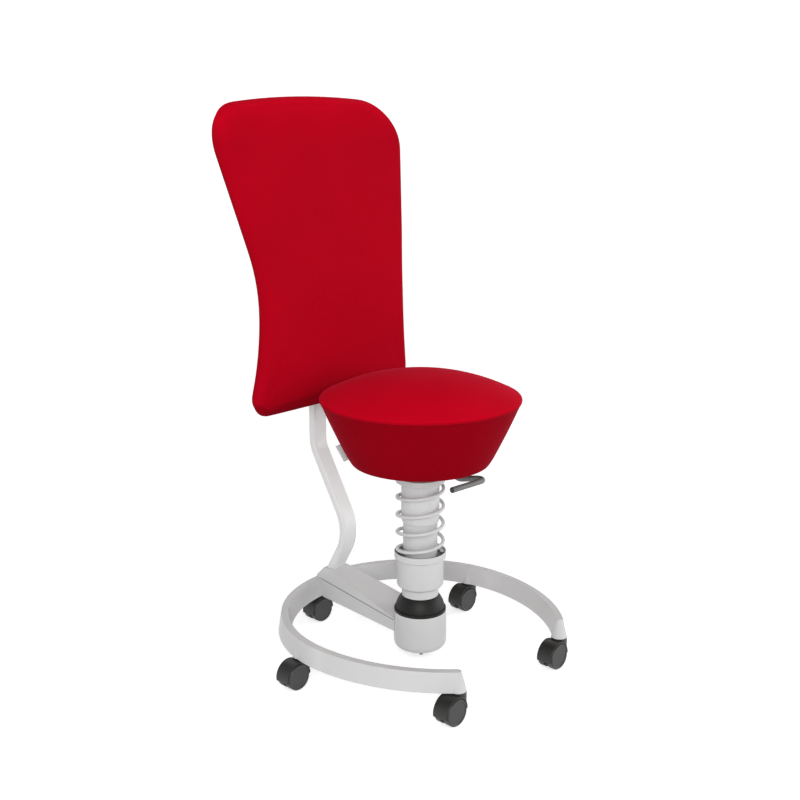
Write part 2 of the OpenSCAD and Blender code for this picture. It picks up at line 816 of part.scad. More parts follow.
module carrier_screws() {
    color(STEEL)
    for (x = [-1, 1], s = [-1, 1])
        let (z = carrier_z + s * carrier_bolt_z * 1.35)
        translate([x * carrier_bolt_x, face_y(z) + panel_t + carrier_t + 0.6, z])
            rotate([-90, 0, 0])
                cap_screw(carrier_screw_d, carrier_t + 12);
}

module joint_hub() {
    r = hub_r;
    cavity_z = hub_z + hub_floor;
    outline = concat(
        [[0, hub_z]],
        [for (a = [-90:15:0]) [r - hub_round + hub_round * cos(a), hub_z + hub_round + hub_round * sin(a)]],
        [[r, joint_z - 15], [hub_rim_d / 2, joint_z], [0, joint_z]]);
    color(PAINT)
    difference() {
        rotate_extrude($fn = 120)
            polygon(outline);
        translate([0, 0, cavity_z])
            cylinder(d = ledge_d, h = joint_z, $fn = 120);
        translate([0, 0, plate_z])
            cylinder(d = hub_bore_d, h = joint_z, $fn = 120);
        cylinder(d = knob_shaft_d + 2 * run_fit, h = joint_z, $fn = 64);
        yoke_screw_turns()
            translate([0, 0, plate_z - 14])
                cylinder(d = yoke_screw_d, h = 15, $fn = 32);
    }
}

module yoke_screw_turns() {
    for (a = [0:120:240])
        rotate([0, 0, a])
            translate([yoke_screw_at, 0])
                children();
}

module hub_lip() {
    color(BLACK_RUBBER)
    translate([0, 0, joint_z])
        difference() {
            cylinder(d = hub_rim_d - 0.2, h = lip_h, $fn = 120);
            translate([0, 0, -1])
                cylinder(d = hub_bore_d, h = lip_h + 2, $fn = 120);
        }
}

// One yoke's two ears along X, with the round end at the tilting centre
module yoke_ears(z_root) {
    low = min(z_root, joint_z);
    for (s = [-1, 1])
        translate([s * (cross_l / 2 - ear_t / 2), 0, 0])
            difference() {
                union() {
                    translate([-ear_t / 2, -ear_w / 2, low])
                        cube([ear_t, ear_w, abs(joint_z - z_root)]);
                    translate([-ear_t / 2, 0, joint_z])
                        rotate([0, 90, 0])
                            cylinder(d = ear_w, h = ear_t, $fn = 64);
                }
                translate([-ear_t, 0, joint_z])
                    rotate([0, 90, 0])
                        cylinder(d = cross_d + 2 * run_fit, h = 2 * ear_t, $fn = 64);
            }
}

module pivot_yoke() {
    color(STEEL) {
        difference() {
            translate([0, 0, plate_z])
                cylinder(d = hub_bore_d - 2 * run_fit, h = yoke_plate_t, $fn = 120);
            for (a = [60:120:300])
                rotate([0, 0, a])
                    translate([rod_at, 0, plate_z - 1])
                        cylinder(d = rod_d + 2 * slide_fit, h = yoke_plate_t + 2, $fn = 32);
            yoke_screw_turns() {
                translate([0, 0, plate_z - 1])
                    cylinder(d = yoke_screw_d, h = yoke_plate_t + 2, $fn = 32);
                translate([0, 0, plate_top - yoke_screw_d * head_k - 0.4])
                    cylinder(d = yoke_screw_d * 1.6 + 0.4, h = 10, $fn = 32);
            }
            translate([0, 0, plate_z - 1])
                cylinder(d = knob_shaft_d + 2, h = 5, $fn = 48);
        }
        yoke_ears(plate_top);
    }
}

module yoke_screws() {
    color(STEEL)
    yoke_screw_turns()
        translate([0, 0, plate_top - yoke_screw_d * head_k - 0.4])
            cap_screw(yoke_screw_d, yoke_plate_t + 6);
}

module stiffness_knob() {
    z0 = hub_z - knob_gap - knob_t;
    color(DARK_PAINT) {
        translate([0, 0, z0])
            cylinder(d = knob_d, h = knob_t, $fn = 96);
        translate([0, 0, z0])
            cylinder(d = knob_shaft_d, h = plate_z - z0 + 1, $fn = 64);
        rotate([0, 0, 228])
            translate([knob_d / 2 - 6, -3, z0 - 3])
                cube([8, 6, 4]);
    }
}

module pressure_plate() {
    color(STEEL) {
        difference() {
            translate([0, 0, pressure_z])
                cylinder(d = ledge_d - 2 * seat_fit, h = pressure_t, $fn = 96);
            translate([0, 0, pressure_z - 1])
                cylinder(d = knob_shaft_d + 2 * run_fit, h = pressure_t + 2, $fn = 64);
        }
        for (a = [60:120:300])
            rotate([0, 0, a])
                translate([rod_at, 0, pressure_z])
                    cylinder(d = rod_d, h = plate_top + seat_fit - pressure_z, $fn = 32);
    }
}

module stiffness_buffer() {
    color(BLACK_RUBBER)
    translate([0, 0, plate_top + seat_fit])
        difference() {
            cylinder(r = buffer_out_r, h = buffer_t, $fn = 96);
            translate([0, 0, -1])
                cylinder(r = buffer_in_r, h = buffer_t + 2, $fn = 96);
        }
}

module joint_cross() {
    color(STEEL)
    translate([0, 0, joint_z]) {
        cube([14, 14, 14], center = true);
        rotate([0, 90, 0])
            cylinder(d = cross_d, h = cross_l, center = true, $fn = 64);
        rotate([90, 0, 0])
            cylinder(d = cross_d, h = cross_l, center = true, $fn = 64);
    }
}

module upper_yoke() {
    color(STEEL) {
        translate([0, 0, yoke_floor])
            cylinder(d = guide_d, h = guide_z - yoke_floor, $fn = 96);
        rotate([0, 0, 90])
            yoke_ears(yoke_floor);
    }
}

module column_neck() {
    color(PAINT)
    rotate_extrude($fn = 120)
        polygon([[guide_d / 2, skirt_z + 4], [skirt_in_r, skirt_z + 4], [skirt_in_r, skirt_z],
                 [skirt_out_r, skirt_z], [skirt_out_r, skirt_z + 4], [neck_d / 2, skirt_z + 4],
                 [neck_d / 2, cup_z], [neck_d / 2 - neck_step, cup_z],
                 [neck_d / 2 - neck_step, neck_top], [guide_d / 2, neck_top]]);
}

module rubber_dome() {
    r = dome_d / 2;
    low = -11;
    high = sqrt(pow(r, 2) - pow(neck_d / 2, 2));
    in_high = sqrt(pow(r - dome_t, 2) - pow(neck_d / 2, 2));
    a0 = asin(low / r);
    a1 = asin(high / r);
    b0 = asin(low / (r - dome_t));
    b1 = asin(in_high / (r - dome_t));
    steps = 12;
    color(BLACK_RUBBER)
    translate([0, 0, joint_z])
        rotate_extrude($fn = 120)
            polygon(concat(
                [for (i = [0:steps]) let (a = a0 + (a1 - a0) * i / steps) r * [cos(a), sin(a)]],
                [for (i = [steps:-1:0])
                    let (a = b0 + (b1 - b0) * i / steps) (r - dome_t) * [cos(a), sin(a)]]));
}

module guide_tube() {
    color(PAINT)
    translate([0, 0, guide_z])
        difference() {
            cylinder(d = guide_d, h = guide_end - guide_z, $fn = 120);
            translate([0, 0, -1])
                cylinder(d = guide_d - 2 * guide_t, h = guide_end - guide_z + 2, $fn = 120);
        }
}

module spring_cup() {
    r = cup_d / 2;
    bore = neck_d / 2 - neck_step + run_fit;
    corner = 8;
    outline = concat(
        [[bore, cup_z], [r - corner, cup_z]],
        [for (a = [-75:15:0]) [r - corner + corner * cos(a), cup_z + corner + corner * sin(a)]],
        [[r, seat_z - 1], [collar_d / 2 - 1, seat_z], [collar_d / 2, seat_z + 1],
         [collar_d / 2, seat_z + collar_h - 0.8], [collar_d / 2 - 0.6, seat_z + collar_h],
         [collar_d / 2 - collar_t, seat_z + collar_h], [collar_d / 2 - collar_t, seat_z],
         [r - cup_t, seat_z], [r - cup_t, cup_z + cup_floor], [bore, cup_z + cup_floor]]);
    color(PAINT)
    rotate_extrude($fn = 120)
        polygon(outline);
}

// Points of the spring's centre line: flat ends, an even rise between, straight lead-in and lead-out
function coil_z(turn) =
    coil_low + (coil_high - coil_low) * min(max((turn - dead_turns) / active_turns, 0), 1);
function coil_at(turn) =
    let (a = spring_start + 360 * turn)
    [coil_r * cos(a), coil_r * sin(a), coil_z(turn)];
function coil_tangent(turn) =
    let (a = spring_start + 360 * turn)
    [-sin(a), cos(a), 0];
COIL = concat(
    [coil_at(0) - wire_d * coil_tangent(0)],
    [for (i = [0:spring_turns * RINGS_PER_TURN]) coil_at(i / RINGS_PER_TURN)],
    [coil_at(spring_turns) + wire_d * coil_tangent(spring_turns)]);

function unit(v) = v / norm(v);
// Ring of a swept tube: square to the path at point i, first side towards the direction given
function tube_ring(path, i, r, sides, side_dir) =
    let (n = len(path),
         t = unit(path[min(i + 1, n - 1)] - path[max(i - 1, 0)]),
         u = unit(side_dir - (side_dir * t) * t),
         v = cross(t, u))
    [for (k = [0:sides - 1]) path[i] + r * (cos(360 * k / sides) * u + sin(360 * k / sides) * v)];

// Closed tube through rings of equal size
module skin(rings) {
    n = len(rings[0]);
    m = len(rings);
    polyhedron(
        [for (r = rings) for (p = r) p],
        concat(
            [for (i = [0:m - 2], j = [0:n - 1])
                let (k = (j + 1) % n)
                each [[i * n + j, (i + 1) * n + k, i * n + k],
                      [i * n + j, (i + 1) * n + j, (i + 1) * n + k]]],
            [for (j = [1:n - 2]) [0, j, j + 1]],
            [for (j = [1:n - 2]) [(m - 1) * n, (m - 1) * n + j + 1, (m - 1) * n + j]]),
        convexity = 10);
}

// Least gap between turns of the wire
COIL_GAP = min([for (i = [0:len(COIL) - 1], j = [i + RINGS_PER_TURN - 1:1:len(COIL) - 1])
    norm(COIL[i] - COIL[j])]) - wire_d;
echo(least_gap_between_the_springs_turns_mm = COIL_GAP);

module coil_spring() {
    rings = [for (i = [0:len(COIL) - 1])
        tube_ring(COIL, i, wire_r, WIRE_SIDES, [COIL[i].x, COIL[i].y, 0])];
    color(PAINT)
        skin(rings);
}

// Block that an end of the spring butts against; dir is where the block lies from the end
module spring_stop(turn, dir, z0, z1, in_r, out_r) {
    end = coil_at(turn) + dir * (wire_d + seat_fit) * coil_tangent(turn);
    intersection() {
        translate([end.x, end.y, z0])
            rotate([0, 0, spring_start + 360 * turn + 90])
                translate([dir > 0 ? 0 : -stop_t, -wire_d, 0])
                    cube([stop_t, 2 * wire_d, z1 - z0]);
        difference() {
            cylinder(r = out_r, h = flange_top, $fn = 120);
            translate([0, 0, -1])
                cylinder(r = in_r, h = flange_top + 2, $fn = 120);
        }
    }
}

module spring_washer() {
    in_r = cup_d / 2 - cup_t;
    out_r = collar_d / 2 - collar_t - run_fit;
    color(STEEL) {
        translate([0, 0, seat_z])
            difference() {
                cylinder(r = out_r, h = washer_t, $fn = 120);
                translate([0, 0, -1])
                    cylinder(r = in_r, h = washer_t + 2, $fn = 120);
            }
        spring_stop(0, -1, seat_z, coil_low + wire_r, in_r, out_r);
    }
}

module guide_sleeve() {
    r = sleeve_d / 2;
    cone_r = coil_r * cos(180 / RINGS_PER_TURN) - wire_r - seat_fit;
    tip_r = sleeve_in_r + 0.6;
    color(PAINT) {
        rotate_extrude($fn = 120)
            polygon([[sleeve_in_r, sleeve_z], [tip_r, sleeve_z], [r, sleeve_z + 12],
                     [r, flange_z - cone_h], [cone_r, flange_z],
                     [flange_d / 2 - 1, flange_z], [flange_d / 2, flange_z + 1],
                     [flange_d / 2, flange_top], [lift_d / 2, flange_top], [lift_d / 2, roof_z],
                     [sleeve_in_r, roof_z]]);
        spring_stop(spring_turns, 1, coil_high - wire_r, flange_z + 0.01, cone_r, flange_d / 2 - 1);
    }
}

module guide_bush() {
    color(BLACK)
    translate([0, 0, sleeve_z + 1.5])
        difference() {
            cylinder(r = sleeve_in_r, h = sleeve_l - 4, $fn = 120);
            translate([0, 0, -1])
                cylinder(r = bush_in_r, h = sleeve_l, $fn = 120);
        }
}

module lift_tube() {
    color(STEEL)
    difference() {
        translate([0, 0, lift_z])
            cylinder(d = lift_d, h = flange_top - lift_z, $fn = 96);
        translate([0, 0, lift_z + 6])
            cylinder(d = lift_d - 2 * lift_t, h = flange_top - lift_z, $fn = 96);
        translate([0, 0, lift_z - 1])
            cylinder(d = gas_rod_d + 2 * run_fit, h = 10, $fn = 48);
    }
}

module gas_bush() {
    color(BLACK)
    translate([0, 0, flange_top - gas_bush_l])
        difference() {
            cylinder(d = lift_d - 2 * lift_t, h = gas_bush_l, $fn = 96);
            translate([0, 0, -1])
                cylinder(d = gas_d + 2 * slide_fit, h = gas_bush_l + 2, $fn = 96);
        }
}

module gas_rod() {
    color(STEEL) {
        translate([0, 0, lift_z - 6])
            cylinder(d = gas_rod_d, h = piston_z - lift_z + 6.01, $fn = 64);
        translate([0, 0, lift_z + 6 + seat_fit])
            cylinder(d = gas_rod_d + 10, h = 4, $fn = 64);
        translate([0, 0, lift_z - clip_t - seat_fit])
            cylinder(d = gas_rod_d + 6, h = clip_t, $fn = 64);
        translate([0, 0, piston_z])
            cylinder(d = gas_d - 2 * gas_t - 2 * slide_fit, h = piston_h, $fn = 64);
    }
}

module gas_cylinder() {
    color(DARK_PAINT)
    difference() {
        translate([0, 0, gas_z])
            cylinder(d = gas_d, h = gas_l, $fn = 96);
        translate([0, 0, gas_z + gas_gland])
            cylinder(d = gas_d - 2 * gas_t, h = gas_l - gas_gland - 12, $fn = 96);
        translate([0, 0, gas_z - 1])
            cylinder(d = gas_rod_d + 2 * run_fit, h = gas_gland + 2, $fn = 64);
        translate([0, 0, gas_top - 13])
            cylinder(d = pin_d + 2 * run_fit, h = 14, $fn = 48);
    }
}

module release_pin() {
    color(STEEL)
    translate([0, 0, gas_top - 9])
        cylinder(d = pin_d, h = 9 + pin_up, $fn = 48);
}

module seat_bracket() {
    web_y0 = lever_pin_y - 8;
    color(BLACK)
    difference() {
        union() {
            translate([-plate_w / 2, -plate_w / 2, plate_low])
                cube([plate_w, plate_w, sheet_t]);
            for (s = [-1, 1])
                translate([s * web_x - sheet_t / 2, web_y0, socket_z])
                    cube([sheet_t, 2 * 22 - web_y0 - 22, plate_low - socket_z + 0.01]);
            translate([0, 0, socket_z])
                cylinder(d = socket_d, h = socket_l, $fn = 96);
            translate([-web_x, -6, socket_z])
                cube([2 * web_x, 12, socket_l]);
        }
        translate([0, 0, socket_z - 1])
            cylinder(d = gas_d, h = socket_l + 2, $fn = 96);
        translate([0, lever_pin_y, lever_pin_z])
            rotate([0, 90, 0])
                cylinder(d = lever_pin_d, h = 2 * web_x + 20, center = true, $fn = 48);
        translate([0, 0, plate_low - 1])
            cylinder(d = 20, h = sheet_t + 2, $fn = 48);
        seat_screw_turns()
            translate([0, 0, plate_low - 1])
                cylinder(d = seat_screw_d, h = sheet_t + 2, $fn = 32);
    }
    color(STEEL)
    translate([0, lever_pin_y, lever_pin_z])
        rotate([0, 90, 0])
            cylinder(d = lever_pin_d, h = 2 * web_x + sheet_t + 4, center = true, $fn = 48);
}

module seat_screw_turns() {
    for (x = [-1, 1], y = [-1, 1])
        translate([x * seat_screw_at, y * seat_screw_at])
            children();
}

module seat_screws() {
    color(STEEL)
    seat_screw_turns()
        translate([0, 0, plate_low])
            mirror([0, 0, 1])
                cap_screw(seat_screw_d, sheet_t + board_t - 2);
}

module seat_board() {
    color(WOOD)
    translate([0, 0, board_z])
        difference() {
            cylinder(d = board_d, h = board_t, $fn = 120);
            seat_screw_turns()
                translate([0, 0, -1])
                    cylinder(d = seat_screw_d, h = board_t - 1, $fn = 32);
        }
}

// Radius of the seat's cone at a height, drawn in a little at half height
function seat_r(z) =
    let (k = (z - seat_z0) / seat_cone_h)
    seat_low_r + (seat_rim_r - seat_low_r) * k - seat_draw * 4 * k * (1 - k);

module seat_ring() {
    top = board_z;
    steps = 4;
    color(RED)
    rotate_extrude($fn = 120)
        polygon(concat(
            [[seat_hole_d / 2, seat_z0], [seat_low_r - seat_round, seat_z0],
             [seat_low_r - seat_round * 0.3, seat_z0 + seat_round * 0.3]],
            [for (i = [0:steps])
                let (z = seat_z0 + seat_round + (top - seat_z0 - seat_round) * i / steps)
                [seat_r(z), z]],
            [[seat_hole_d / 2, top]]));
}

module seat_cushion() {
    steps = 5;
    dome_steps = 14;
    dome_r = seat_rim_r - seat_round * 0.5;
    color(RED)
    difference() {
        rotate_extrude($fn = 120)
            polygon(concat(
                [[0, board_z]],
                [for (i = [0:steps])
                    let (z = board_z + (seat_rim_z - seat_round - board_z) * i / steps)
                    [seat_r(z), z]],
                [[seat_rim_r, seat_rim_z - seat_round * 0.3]],
                [for (i = [dome_steps:-1:0])
                    let (r = dome_r * i / dome_steps)
                    [r, seat_top - seat_dome_h * pow(r / dome_r, dome_power)]]));
        translate([0, 0, board_z - 1])
            cylinder(d = board_d + 2 * seat_fit, h = board_t + 1 + seat_fit, $fn = 120);
    }
}

// Corners of the lever's rod, measured from its pin's height: down from the boss, out under the
// seat, then round the bend and back along the seat's front
LEVER = [[0, lever_pin_y - 4, -2], [22, -75, -52], [68, -117, -52], [-38, -110, -52]];
LEVER_BENDS = [0, 16, 10, 0];
BEND_STEPS = 9;
// Points of the round bend at corner i
function fillet(p, i, r) =
    let (u = unit(p[i - 1] - p[i]), v = unit(p[i + 1] - p[i]),
         half = acos(u * v) / 2,
         centre = p[i] + unit(u + v) * r / sin(half),
         e = unit(p[i] + u * r / tan(half) - centre),
         g = unit(p[i] + v * r / tan(half) - centre),
         turn = acos(e * g))
    [for (k = [0:BEND_STEPS])
        let (t = k / BEND_STEPS)
        centre + r * (sin((1 - t) * turn) * e + sin(t * turn) * g) / sin(turn)];
LEVER_PATH = concat([LEVER[0]], fillet(LEVER, 1, LEVER_BENDS[1]), fillet(LEVER, 2, LEVER_BENDS[2]),
                    [LEVER[3]]);

module height_lever() {
    rings = [for (i = [0:len(LEVER_PATH) - 1])
        tube_ring(LEVER_PATH, i, lever_d / 2, 12, [0.4, 0.6, -0.9])];
    color(BLACK)
    translate([0, 0, lever_pin_z])
        difference() {
            union() {
                skin(rings);
                translate([0, lever_pin_y, 0])
                    rotate([0, 90, 0])
                        cylinder(d = lever_boss_d, h = 2 * web_x - sheet_t - 1, center = true, $fn = 64);
                translate([-tongue_w / 2, lever_pin_y, -tongue_t / 2])
                    cube([tongue_w, pin_d / 2 - lever_pin_y, tongue_t]);
            }
            translate([0, lever_pin_y, 0])
                rotate([0, 90, 0])
                    cylinder(d = lever_pin_d + 2 * run_fit, h = 3 * web_x, center = true, $fn = 48);
        }
}

// Places its children at each caster's stem, by index
module at_caster(k) {
    translate(CASTER_AT[k])
        children();
}

module caster_stems() {
    color(STEEL)
    for (k = [0:4])
        at_caster(k) {
            translate([0, 0, housing_top - stem_out])
                cylinder(d = stem_d, h = stem_out + swivel_gap + stem_in, $fn = 48);
            translate([0, 0, housing_top - stem_out - stem_pin_l])
                cylinder(d = stem_pin_d, h = stem_pin_l + 0.01, $fn = 48);
        }
}

// Housing: swivel neck, middle web and hood; the wheels trail towards -X
module caster_housing(k) {
    color(BLACK)
    at_caster(k)
        difference() {
            union() {
                cylinder(d = swivel_d, h = housing_top, $fn = 96);
                translate([-trail, 0, wheel_r])
                    rotate([90, 0, 0])
                        cylinder(r = hood_out_r, h = hood_w, center = true, $fn = 96);
                translate([-trail / 2, 0, wheel_r + 10])
                    cube([trail, web_t, 30], center = true);
            }
            for (s = [-1, 1])
                translate([-trail, s * (web_t / 2 + 25), wheel_r])
                    rotate([90, 0, 0])
                        cylinder(r = hood_in_r, h = 50, center = true, $fn = 96);
            translate([-trail - 50, -50, -1])
                cube([100 + trail, 100, wheel_r - 5]);
            translate([-trail, 0, wheel_r])
                rotate([0, -20, 0])
                    translate([-60, -50, -60])
                        cube([120, 100, 50]);
            translate([0, 0, housing_top - stem_out])
                cylinder(d = stem_d + 2 * run_fit, h = stem_out + 1, $fn = 48);
            translate([0, 0, housing_top - stem_out - stem_pin_l - seat_fit])
                cylinder(d = stem_pin_d + 2 * run_fit, h = stem_out, $fn = 48);
            translate([-trail, 0, wheel_r])
                rotate([90, 0, 0])
                    cylinder(d = axle_d, h = web_t + 2, center = true, $fn = 48);
        }
}

module caster_axle(k) {
    color(STEEL)
    at_caster(k)
        translate([-trail, 0, wheel_r])
            rotate([90, 0, 0])
                cylinder(d = axle_d, h = web_t + 2 * (wheel_gap + wheel_w - 4), center = true, $fn = 48);
}

// One wheel, open towards the web; side is -1 for the wheel on the -Y side
module caster_wheel(k, side) {
    r = wheel_r;
    color(BLACK)
    at_caster(k)
        translate([-trail, side * (web_t / 2 + wheel_gap), wheel_r])
            rotate([-90 * side, 0, 0])
                rotate_extrude($fn = 96)
                    polygon([[axle_d / 2 + run_fit, 0], [6, 0], [6, 2], [r - 4, 2], [r - 4, 0], [r - 1, 0],
                             [r, 1], [r, wheel_w - 2], [r - 1.6, wheel_w], [r - 4, wheel_w],
                             [r - 5, wheel_w - 1], [0, wheel_w - 1], [0, wheel_w - 3.5],
                             [axle_d / 2 + run_fit, wheel_w - 3.5]]);
}

translate([-MIDDLE.x, -MIDDLE.y]) {
    base_ring();
    base_arm();
    joint_hub();
    caster_stems();
    bar_foot();
    foot_bolts();
    back_bar();
    bar_cap();
    back_carrier();
    carrier_screws();
    bar_bolts();
    back_shell();
    back_cushion();
    hub_lip();
    pivot_yoke();
    yoke_screws();
    stiffness_knob();
    pressure_plate();
    stiffness_buffer();
    joint_cross();
    upper_yoke();
    column_neck();
    rubber_dome();
    guide_tube();
    spring_cup();
    spring_washer();
    coil_spring();
    guide_sleeve();
    guide_bush();
    lift_tube();
    gas_bush();
    gas_rod();
    gas_cylinder();
    release_pin();
    seat_bracket();
    seat_screws();
    seat_board();
    seat_ring();
    seat_cushion();
    height_lever();
    for (k = [0:4]) {
        caster_housing(k);
        caster_axle(k);
        caster_wheel(k, -1);
        caster_wheel(k, 1);
    }
}
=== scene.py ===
# %% [markdown]
# # A balance stool with a backrest
#
# The stool is a domed seat on a sprung column that can lean in its foot joint. A tall backrest
# stands behind it on a bent bar, and an open ring on five casters carries both.
#
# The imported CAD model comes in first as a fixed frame. Everything after that dresses it: the
# metal and plastic nodes keep their CAD shape and get materials, while the upholstery and the
# spring are modelled here and ride on the CAD bodies.

import json
import math

import bmesh
import bpy
import numpy as np
from mathutils import Matrix, Vector


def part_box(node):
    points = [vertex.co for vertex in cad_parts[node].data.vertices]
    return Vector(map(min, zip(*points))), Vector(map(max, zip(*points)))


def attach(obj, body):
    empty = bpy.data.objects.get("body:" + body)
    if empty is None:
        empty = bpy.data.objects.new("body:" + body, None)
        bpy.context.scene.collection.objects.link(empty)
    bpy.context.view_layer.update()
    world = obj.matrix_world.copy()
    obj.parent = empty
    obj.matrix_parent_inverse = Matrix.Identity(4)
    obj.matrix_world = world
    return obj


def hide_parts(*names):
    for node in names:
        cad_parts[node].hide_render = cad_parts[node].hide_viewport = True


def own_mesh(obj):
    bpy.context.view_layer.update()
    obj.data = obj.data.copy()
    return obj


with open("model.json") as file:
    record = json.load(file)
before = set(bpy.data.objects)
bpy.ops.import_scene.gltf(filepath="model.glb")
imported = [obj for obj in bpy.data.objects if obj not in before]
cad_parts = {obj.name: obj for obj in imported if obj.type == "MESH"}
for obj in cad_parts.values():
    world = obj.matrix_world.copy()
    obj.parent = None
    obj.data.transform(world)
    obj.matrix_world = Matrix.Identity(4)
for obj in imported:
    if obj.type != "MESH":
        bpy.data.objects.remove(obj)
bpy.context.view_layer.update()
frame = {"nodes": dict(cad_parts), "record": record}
nodes = frame["nodes"]

# %% [markdown]
# The column stands a little off the middle of the floor area, so every piece below is measured
# from the column's axis, in millimetres, and `at()` turns that into the scene's metres. The guide
# tube gives the axis, and a few node boxes give the heights, so nothing is placed by eye.

# %% Places taken from the frame
tube_low, tube_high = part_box("guide_tube")
AXIS_X = (tube_low.x + tube_high.x) / 2
AXIS_Y = (tube_low.y + tube_high.y) / 2


def at(x, y, z):
    """A point in millimetres from the column's axis and the floor, in scene metres."""
    return Vector((AXIS_X + x / 1000, AXIS_Y + y / 1000, z / 1000))


def node_z(name):
    """Lowest and highest level of a node, in millimetres."""
    low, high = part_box(name)
    return low.z * 1000, high.z * 1000


print("column axis at", round(AXIS_X, 4), round(AXIS_Y, 4))

# %% [markdown]
# ## Camera
#
# The camera was fitted to the photograph's outlines: the base ring's ellipse, the caster discs,
# the column's steps, the seat's rim and the backrest's edges. It stands in front of the stool on
# the sitter's right, a little above the seat, and looks down by 14 degrees.

# %% Camera
CAMERA_DISTANCE = 2281.66   # from the column's axis, along the floor
CAMERA_AZIMUTH = math.radians(-48.19)
CAMERA_HEIGHT = 1091.87
CAMERA_PITCH = math.radians(14.24)
CAMERA_HEADING = math.radians(-48.19 + 0.94)
CAMERA_ROLL = math.radians(-0.08)
FOCAL_PIXELS = 1262.95
IMAGE_PIXELS = 800
SENSOR_WIDTH = 36

camera_data = bpy.data.cameras.new("camera")
camera_data.sensor_width = SENSOR_WIDTH
camera_data.lens = FOCAL_PIXELS / IMAGE_PIXELS * SENSOR_WIDTH
camera_data.clip_end = 50
camera_data.shift_x = -0.5 / IMAGE_PIXELS
camera_data.shift_y = 0.5 / IMAGE_PIXELS
camera = bpy.data.objects.new("camera", camera_data)
bpy.context.scene.collection.objects.link(camera)
forward = Vector((-math.sin(CAMERA_HEADING) * math.cos(CAMERA_PITCH),
                  math.cos(CAMERA_HEADING) * math.cos(CAMERA_PITCH), -math.sin(CAMERA_PITCH)))
right = forward.cross(Vector((0, 0, 1))).normalized()
up = right.cross(forward)
right, up = (right * math.cos(CAMERA_ROLL) + up * math.sin(CAMERA_ROLL),
             up * math.cos(CAMERA_ROLL) - right * math.sin(CAMERA_ROLL))
turn = Matrix((right, up, -forward)).transposed().to_4x4()
camera.matrix_world = Matrix.Translation(at(CAMERA_DISTANCE * math.sin(CAMERA_AZIMUTH),
                                            -CAMERA_DISTANCE * math.cos(CAMERA_AZIMUTH),
                                            CAMERA_HEIGHT)) @ turn
bpy.context.scene.camera = camera
print("camera at", [round(c, 3) for c in camera.location], "lens", round(camera_data.lens, 2))

# %% [markdown]
# ## Light and floor
#
# The photograph is a plain studio picture on white. One large soft light stands in front on the
# left and a weaker one fills from the right. The world lights the rest, brighter from the sides
# than from above, because upright faces are lighter than level ones in the photograph. The floor
# is a pale sweep that curves up far behind the stool, so that no horizon shows.


# %% Floor and lights
def area_light(name, place, target, size, power):
    data = bpy.data.lights.new(name, "AREA")
    data.shape = "DISK"
    data.size = size
    data.energy = power
    light = bpy.data.objects.new(name, data)
    light.location = place
    light.rotation_euler = (Vector(target) - Vector(place)).to_track_quat("-Z", "Y").to_euler()
    bpy.context.scene.collection.objects.link(light)


area_light("key_light", at(-2300, -2000, 1800), at(0, 100, 500), size=2.0, power=56)
area_light("fill_light", at(2300, -1700, 700), at(0, 0, 300), size=2.2, power=30)

SKY_LEVEL = (0.1, 1.0)      # height in the sky, and how bright it is from there down
SKY_ABOVE = (0.95, 0.12)    # the same from there up
SKY_STRENGTH = 1.08

world = bpy.data.worlds.new("studio")
world.use_nodes = True
sky = world.node_tree
place = sky.nodes.new("ShaderNodeTexCoord")
height = sky.nodes.new("ShaderNodeSeparateXYZ")
sky.links.new(place.outputs["Generated"], height.inputs[0])
ramp = sky.nodes.new("ShaderNodeValToRGB")
for stop, (position, level) in zip(ramp.color_ramp.elements, (SKY_LEVEL, SKY_ABOVE)):
    stop.position = position
    stop.color = (level, level, level, 1)
sky.links.new(height.outputs["Z"], ramp.inputs[0])
sky.links.new(ramp.outputs["Color"], sky.nodes["Background"].inputs["Color"])
sky.nodes["Background"].inputs["Strength"].default_value = SKY_STRENGTH
bpy.context.scene.world = world
bpy.context.scene.view_settings.view_transform = "Standard"

FLOOR_NEAR = -7.0      # metres along the camera's view
FLOOR_FAR = 5.0
SWEEP_R = 3.0
WALL_TOP = 9.0
HALF_FLOOR = 9

floor_mesh = bpy.data.meshes.new("floor")
sweep = [(FLOOR_NEAR, 0.0), (FLOOR_FAR, 0.0)]
for a in np.radians(np.arange(6, 91, 6)):
    sweep.append((FLOOR_FAR + SWEEP_R * math.sin(a), SWEEP_R - SWEEP_R * math.cos(a)))
sweep.append((FLOOR_FAR + SWEEP_R, WALL_TOP))
side = Vector((-forward.y, forward.x, 0)).normalized()
ahead = Vector((forward.x, forward.y, 0)).normalized()
floor_points = [ahead * d + side * s + Vector((0, 0, h)) for d, h in sweep for s in (-HALF_FLOOR, HALF_FLOOR)]
floor_quads = [(2 * i, 2 * i + 1, 2 * i + 3, 2 * i + 2) for i in range(len(sweep) - 1)]
floor_mesh.from_pydata(floor_points, [], floor_quads)
floor = bpy.data.objects.new("floor", floor_mesh)
bpy.context.scene.collection.objects.link(floor)
for polygon in floor_mesh.polygons:
    polygon.use_smooth = True

# %% [markdown]
# ## Materials
#
# The shared effects are node groups with named inputs and outputs, so that each can be read and
# used again. `weave` gives the threads of a cloth from the object's own coordinates, seen along
# the axis that the surface faces most. Its shading input paints light and shade into the colour:
# cloth that faces up is painted lighter and cloth that faces down painted darker. `coat_of_paint`
# gives a powder coat's fine peel and the dust that settles on it. `grain` is the fine roughness of
# moulded plastic and rubber.


# %% Node groups
def new_group(name, inputs, outputs):
    group = bpy.data.node_groups.new(name, "ShaderNodeTree")
    for kind, label, value in inputs:
        socket = group.interface.new_socket(label, in_out="INPUT", socket_type=kind)
        socket.default_value = value
    for kind, label in outputs:
        group.interface.new_socket(label, in_out="OUTPUT", socket_type=kind)
    return group, group.nodes.new("NodeGroupInput"), group.nodes.new("NodeGroupOutput")


